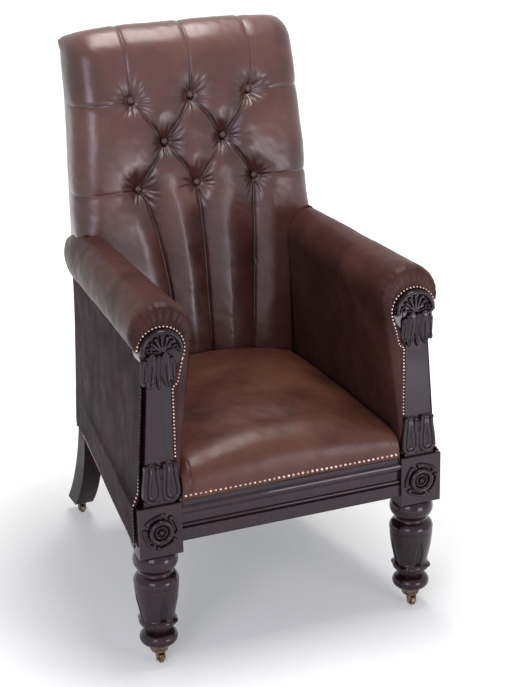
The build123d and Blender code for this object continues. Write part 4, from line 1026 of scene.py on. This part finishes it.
def fan_shape(x, z):
    # A palmette of five lobes inside a rim, with a scroll on each side and a knob at each end
    u = np.abs(x - FAN_X)
    v = z - FAN_Z
    r = np.hypot(u, v)
    above = v > -0.5
    knob_radius = 6.4
    knob = np.hypot(u - 35.5, v + 0.5)
    rim = 4 + ridge(r - 37.4, 4.8, 8.4)
    field = 3.4 + 1.0 * smooth_step(34, 18, r)
    parts = []
    for k, (lean, reach, tall) in enumerate(((0, 30, 7.4), (24, 28, 6.6), (47, 26, 6.0))):
        tip = (reach * math.sin(math.radians(lean)), reach * math.cos(math.radians(lean)))
        line = path_distance(u, v, [(1.5 * k, 2.0), tip])[0]
        width = 1.7 + 2.5 * np.clip(r / reach, 0, 1) ** 1.5
        parts.append(ridge(line, width, tall) + groove(line, 0.7, 1.6))
    parts.append(ridge(np.abs(np.hypot(u - 25.5, v - 6.5) - 4.2), 2.3, 6.0))
    parts.append(ridge(path_distance(u, v, [(3, 0), (20, 2.5)])[0], 2.2, 5.6))
    height = np.where(r > 32.8, np.maximum(rim, field), field + np.maximum.reduce(parts))
    height = np.where(above, height, 2.5)
    height = np.maximum(height, ridge(knob, knob_radius, 11.5) + groove(knob - 3.6, 0.7, 2.0))
    inside = ((r < 42.2) & above) | ((u < 25) & (v > -9) & ~above) | (knob < knob_radius)
    return np.where(inside, np.minimum(height, 12.4), 0)


def capital_leaf(u, z, cx, wide, top, tip, tall, lean):
    # A leaf that hangs from its top, bends aside and turns up at its tip
    share = np.clip((top - z) / (top - tip), 0, 1)
    middle = cx + lean * share ** 2.5
    width = wide * np.clip(1 - share ** 4, 0, 1) ** 0.6 * np.clip(share / 0.12, 0, 1) ** 0.5
    across = np.abs(u - middle) / np.maximum(width, 0.01)
    body = tall * np.clip(1 - across ** 2.2, 0, 1) ** 0.5 * (0.66 + 0.34 * np.cos(share * 3.4))
    body += groove(across, 0.13, 3.0) * smooth_step(0.22, 0.40, share)
    body += 4.2 * bell(share - 0.90, 0.10)
    return np.where((across < 1) & (z < top) & (z > tip), body, 0)


def capital_shape(x, z):
    # Outer leaves, large leaves and the middle spear, and a bulb at the head of each leaf
    centre = 262.0
    u = x - centre
    height = np.zeros(x.shape)
    for cx, wide, top, tip, tall, lean in (
        (-26.5, 7.5, 634, 583, 8.5, -2.5),
        (26.5, 7.5, 634, 583, 8.5, 2.5),
        (-13.0, 11.5, 647, 575, 12.6, -5.0),
        (13.0, 11.5, 647, 575, 12.6, 5.0),
        (0.0, 5.4, 642, 572.5, 9.5, 0.0),
    ):
        height = np.maximum(height, capital_leaf(u, z, cx, wide, top, tip, tall, lean))
        if cx:
            bulb = np.hypot(u - cx, (z - top + 9) * 1.05)
            height = np.maximum(height, ridge(bulb, wide * 0.86, tall + 1.8))
    return np.clip(height, 0, 13.2)


def leaf_base_shape(x, z):
    # Two upright leaves with rounded feet and scalloped tops, and a bud between them
    low, top = 349.5, 429.5
    middle, half = 266.5, 37.5
    foot_radius = 19.0
    u = np.abs(x - middle)
    up = np.clip((z - low) / (top - low), 0, 1)
    lobe = foot_radius - 3.6 * smooth_step(0.30, 0.85, up)
    centre = half - 18.8 - 1.6 * up
    from_centre = np.abs(u - centre)
    rounded = np.hypot(u - centre, z - low - foot_radius)
    inset = lobe - np.where(z < low + foot_radius, rounded, from_centre)
    height = 4.6 * np.clip(inset / 2.0, 0, 1) ** 0.5 + ridge(inset - 4.4, 4.4, 3.6)
    height += ridge(inset - 12.5, 4.6, 2.6) * (1 - smooth_step(0.75, 0.95, up))
    height += groove(inset - 9.0, 0.9, 2.0) + 1.2 * np.cos(up * math.pi)
    height += 2.6 * bell(z - top + 5.5, 3.0)
    scallop = top - 4.5 * (from_centre / lobe) ** 2.2
    height = np.where((inset > 0) & (z < scallop), np.clip(height, 0.6, 9.0), 0)
    bud_width = np.interp(up, [0.0, 0.10, 0.30, 0.62, 0.80, 0.92], [6.5, 6.0, 3.4, 1.6, 4.2, 0.2])
    bud = 6.0 * np.clip(1 - (u / bud_width) ** 2, 0, 1) ** 0.5
    bud = np.where((z > low + 1) & (up < 0.92) & (u < bud_width), bud, 0)
    return np.clip(np.maximum(height, bud), 0, 9.0)


def roundel_shape(x, z):
    # A boss, two rings, and four bent arcs with a knob at each end
    centre_z = 292.5
    u = x - LEG_X
    v = z - centre_z
    r = np.hypot(u, v)
    ground = 0.8
    height = np.maximum(ridge(r, 6.6, 8.8), 1.0 + ridge(r - 11.0, 2.4, 4.4))
    height = np.maximum(height, ground + ridge(r - 20.0, 5.6, 8.0))
    height = np.where(r < 26, np.maximum(height, ground), 0)
    step = QUARTER
    first = 0.42
    local = (np.arctan2(v, u) - first) % step
    arc = ridge(r - 33.0 - 1.4 * np.cos(math.tau * local / step), 3.4, 5.4)
    arc = arc * smooth_step(0.10, 0.16, local) * smooth_step(0.10, 0.16, step - local)
    knob_ring = 30.8
    for k in range(4):
        for end in (0.20, step - 0.20):
            a = first + k * step + end
            from_knob = np.hypot(u - knob_ring * math.cos(a), v - knob_ring * math.sin(a))
            arc = np.maximum(arc, ridge(from_knob, 3.8, 5.8))
    return np.clip(np.maximum(height, arc), 0, 9.0)


def make_carvings():
    relief_pair("fan_carving", "arm_fan", (212, 298), (636, 689), FACING_FACE, fan_shape, step=0.75)
    relief_pair("capital_carving", "leaf_capital", (226, 298), (571, 648), FACING_FACE, capital_shape)
    relief_pair("leaf_base_carving", "leaf_base", (228, 305), (348, 431), FACING_FACE, leaf_base_shape)
    relief_pair("roundel_carving", "roundel", (233, 311), (253, 332), 0.0, roundel_shape)


def make_petals():
    # A shell over the vase of each front leg, sunk in the wood where there is no petal
    low, high = 84.0, 170.0
    between = math.pi / 4
    z, turn = rows_and_columns(np.linspace(low, high, 96), np.linspace(0, math.tau, 289)[:-1])
    vase = 28.5 + 15.0 * (z - 100) / 74
    # gaps face the front, back and sides: spear heads that open again between the curled tips
    off_gap = np.abs((turn + between) % QUARTER - between) * vase
    gap = np.interp(z, [84, 94, 100, 106, 122, 138, 150, 158], [10, 8.0, 3.2, 3.6, 6.4, 4.8, 2.0, -1.5])
    edge = smooth_step(-0.3, 1.8, off_gap - gap)
    proud = 3.4 * edge * np.clip((172 - z) / 34, 0, 1) ** 0.8
    off_tip = between * vase - off_gap
    tip = bell(z - 92.5, 5.0) * np.clip(1 - (off_tip / 17) ** 2, 0, 1)
    rib = groove(off_tip, 1.0, 0.5) * (z > 104) * (z < 150)
    radius = vase + 0.6 * np.clip((high - z) / 12, -1, 1) + proud + edge * rib
    under = smooth_step(low, 92, z)
    radius = radius * under + (1 - under) * 28 + 10.0 * tip
    radius = np.where(z < 100, np.maximum(radius, 27.5), radius)
    grid = np.stack([LEG_X + radius * np.cos(turn), LEG_DEPTH + radius * np.sin(turn), z], -1)
    # painted shade in the gaps between the petals
    dark = (1 - edge) * smooth_step(92, 100, z) * smooth_step(162, 156, z)
    chair_pair(grid_object("leg_petals_right", grid, MAHOGANY, wrap=True, fold=dark), "show_wood")


# Looks of the nodes that the frame carries over
def dress_nodes():
    looks = {
        "show_wood": MAHOGANY, "frame_wood": BEECH, "leather": HIDE, "side_leather": SIDE_HIDE,
        "brass": OLD_BRASS, "steel": STEEL, "webbing": JUTE, "stuffing": SCRIM, "dust_cover": CAMBRIC,
    }
    slots = {part["node"]: part["material_slot"] for part in frame["record"]["subparts"]}
    for name, obj in nodes.items():
        look = looks[slots[name]]
        if "nails" in name:
            look = NAIL_BRASS
        if "rear_leg" in name:
            look = DULL_WOOD
        obj.data.materials.clear()
        obj.data.materials.append(look)


# Studio, in metres and watts
WORLD_LEVEL = 0.32
FLOOR_REACH = 30.0


def background_rays(tree):
    # 1 for the rays that show the background: straight, mirrored or through glass
    path = tree.nodes.new("ShaderNodeLightPath")
    seen = maths(tree, "MAXIMUM", path.outputs["Is Camera Ray"], path.outputs["Is Glossy Ray"])
    return maths(tree, "MAXIMUM", seen, path.outputs["Is Transmission Ray"])


def make_world():
    world = bpy.data.worlds.new("studio")
    bpy.context.scene.world = world
    world.use_nodes = True
    tree = world.node_tree
    background = tree.nodes["Background"]
    feed(tree, background.inputs["Color"], WHITE)
    shown = maths(tree, "MULTIPLY", background_rays(tree), 1 - WORLD_LEVEL)
    tree.links.new(maths(tree, "ADD", shown, WORLD_LEVEL), background.inputs["Strength"])


def make_floor():
    made, tree, shader = material("pale_floor")
    set_sockets(shader, {
        "Base Color": (0.80, 0.81, 0.82, 1),
        "Roughness": 0.9,
        "Specular IOR Level": 0.1,
        "Emission Color": (0.97, 0.99, 1.0, 1),
    })
    # a pool of plain floor round the chair keeps its shadow, and the floor beyond it is white
    away = tree.nodes.new("ShaderNodeVectorMath")
    away.operation = "LENGTH"
    tree.links.new(coordinates(tree), away.inputs[0])
    spread = tree.nodes.new("ShaderNodeMapRange")
    spread.interpolation_type = "SMOOTHSTEP"
    set_sockets(spread, {"From Min": 0.35, "From Max": 1.15, "To Min": 0.22, "To Max": 0.90})
    tree.links.new(away.outputs["Value"], spread.inputs["Value"])
    glow = maths(tree, "MULTIPLY", background_rays(tree), spread.outputs["Result"])
    tree.links.new(glow, shader.inputs["Emission Strength"])
    corners = np.array([(-1, -1, 0), (1, -1, 0), (1, 1, 0), (-1, 1, 0)]) * FLOOR_REACH
    floor = new_object("studio_floor", corners, [[0, 1, 2, 3]], made)


def lamp(name, place, aim, size, power, colour):
    data = bpy.data.lights.new(name, "AREA")
    data.shape = "RECTANGLE"
    data.size, data.size_y = size
    data.energy = power
    data.color = colour
    obj = link(name, data)
    obj.location = place
    obj.visible_camera = False
    obj.rotation_euler = (Vector(aim) - Vector(place)).to_track_quat("-Z", "Y").to_euler()


def make_lamps():
    lamp(
        "overhead_softbox", place=(0.25, 0.0, 2.7), aim=(0.0, 0.0, 0.5),
        size=(1.6, 0.8), power=44, colour=(1.0, 0.96, 0.91),
    )
    lamp(
        "left_softbox", place=(-1.75, -2.15, 1.35), aim=(0.0, 0.1, 0.9),
        size=(1.1, 1.3), power=28, colour=(0.86, 0.82, 1.0),
    )
    lamp(
        "right_strip", place=(0.8, -1.8, 0.36), aim=(0.0, 0.0, 0.6),
        size=(0.6, 0.6), power=10, colour=(0.95, 0.93, 1.0),
    )


make_camera()
dress_nodes()
make_back()
make_buttons()
make_arm()
make_seat()
make_side()
make_outside_back()
make_stile_strips()
make_welts()
make_carvings()
make_petals()
make_world()
make_floor()
make_lamps()

bpy.context.scene.view_settings.view_transform = "Standard"
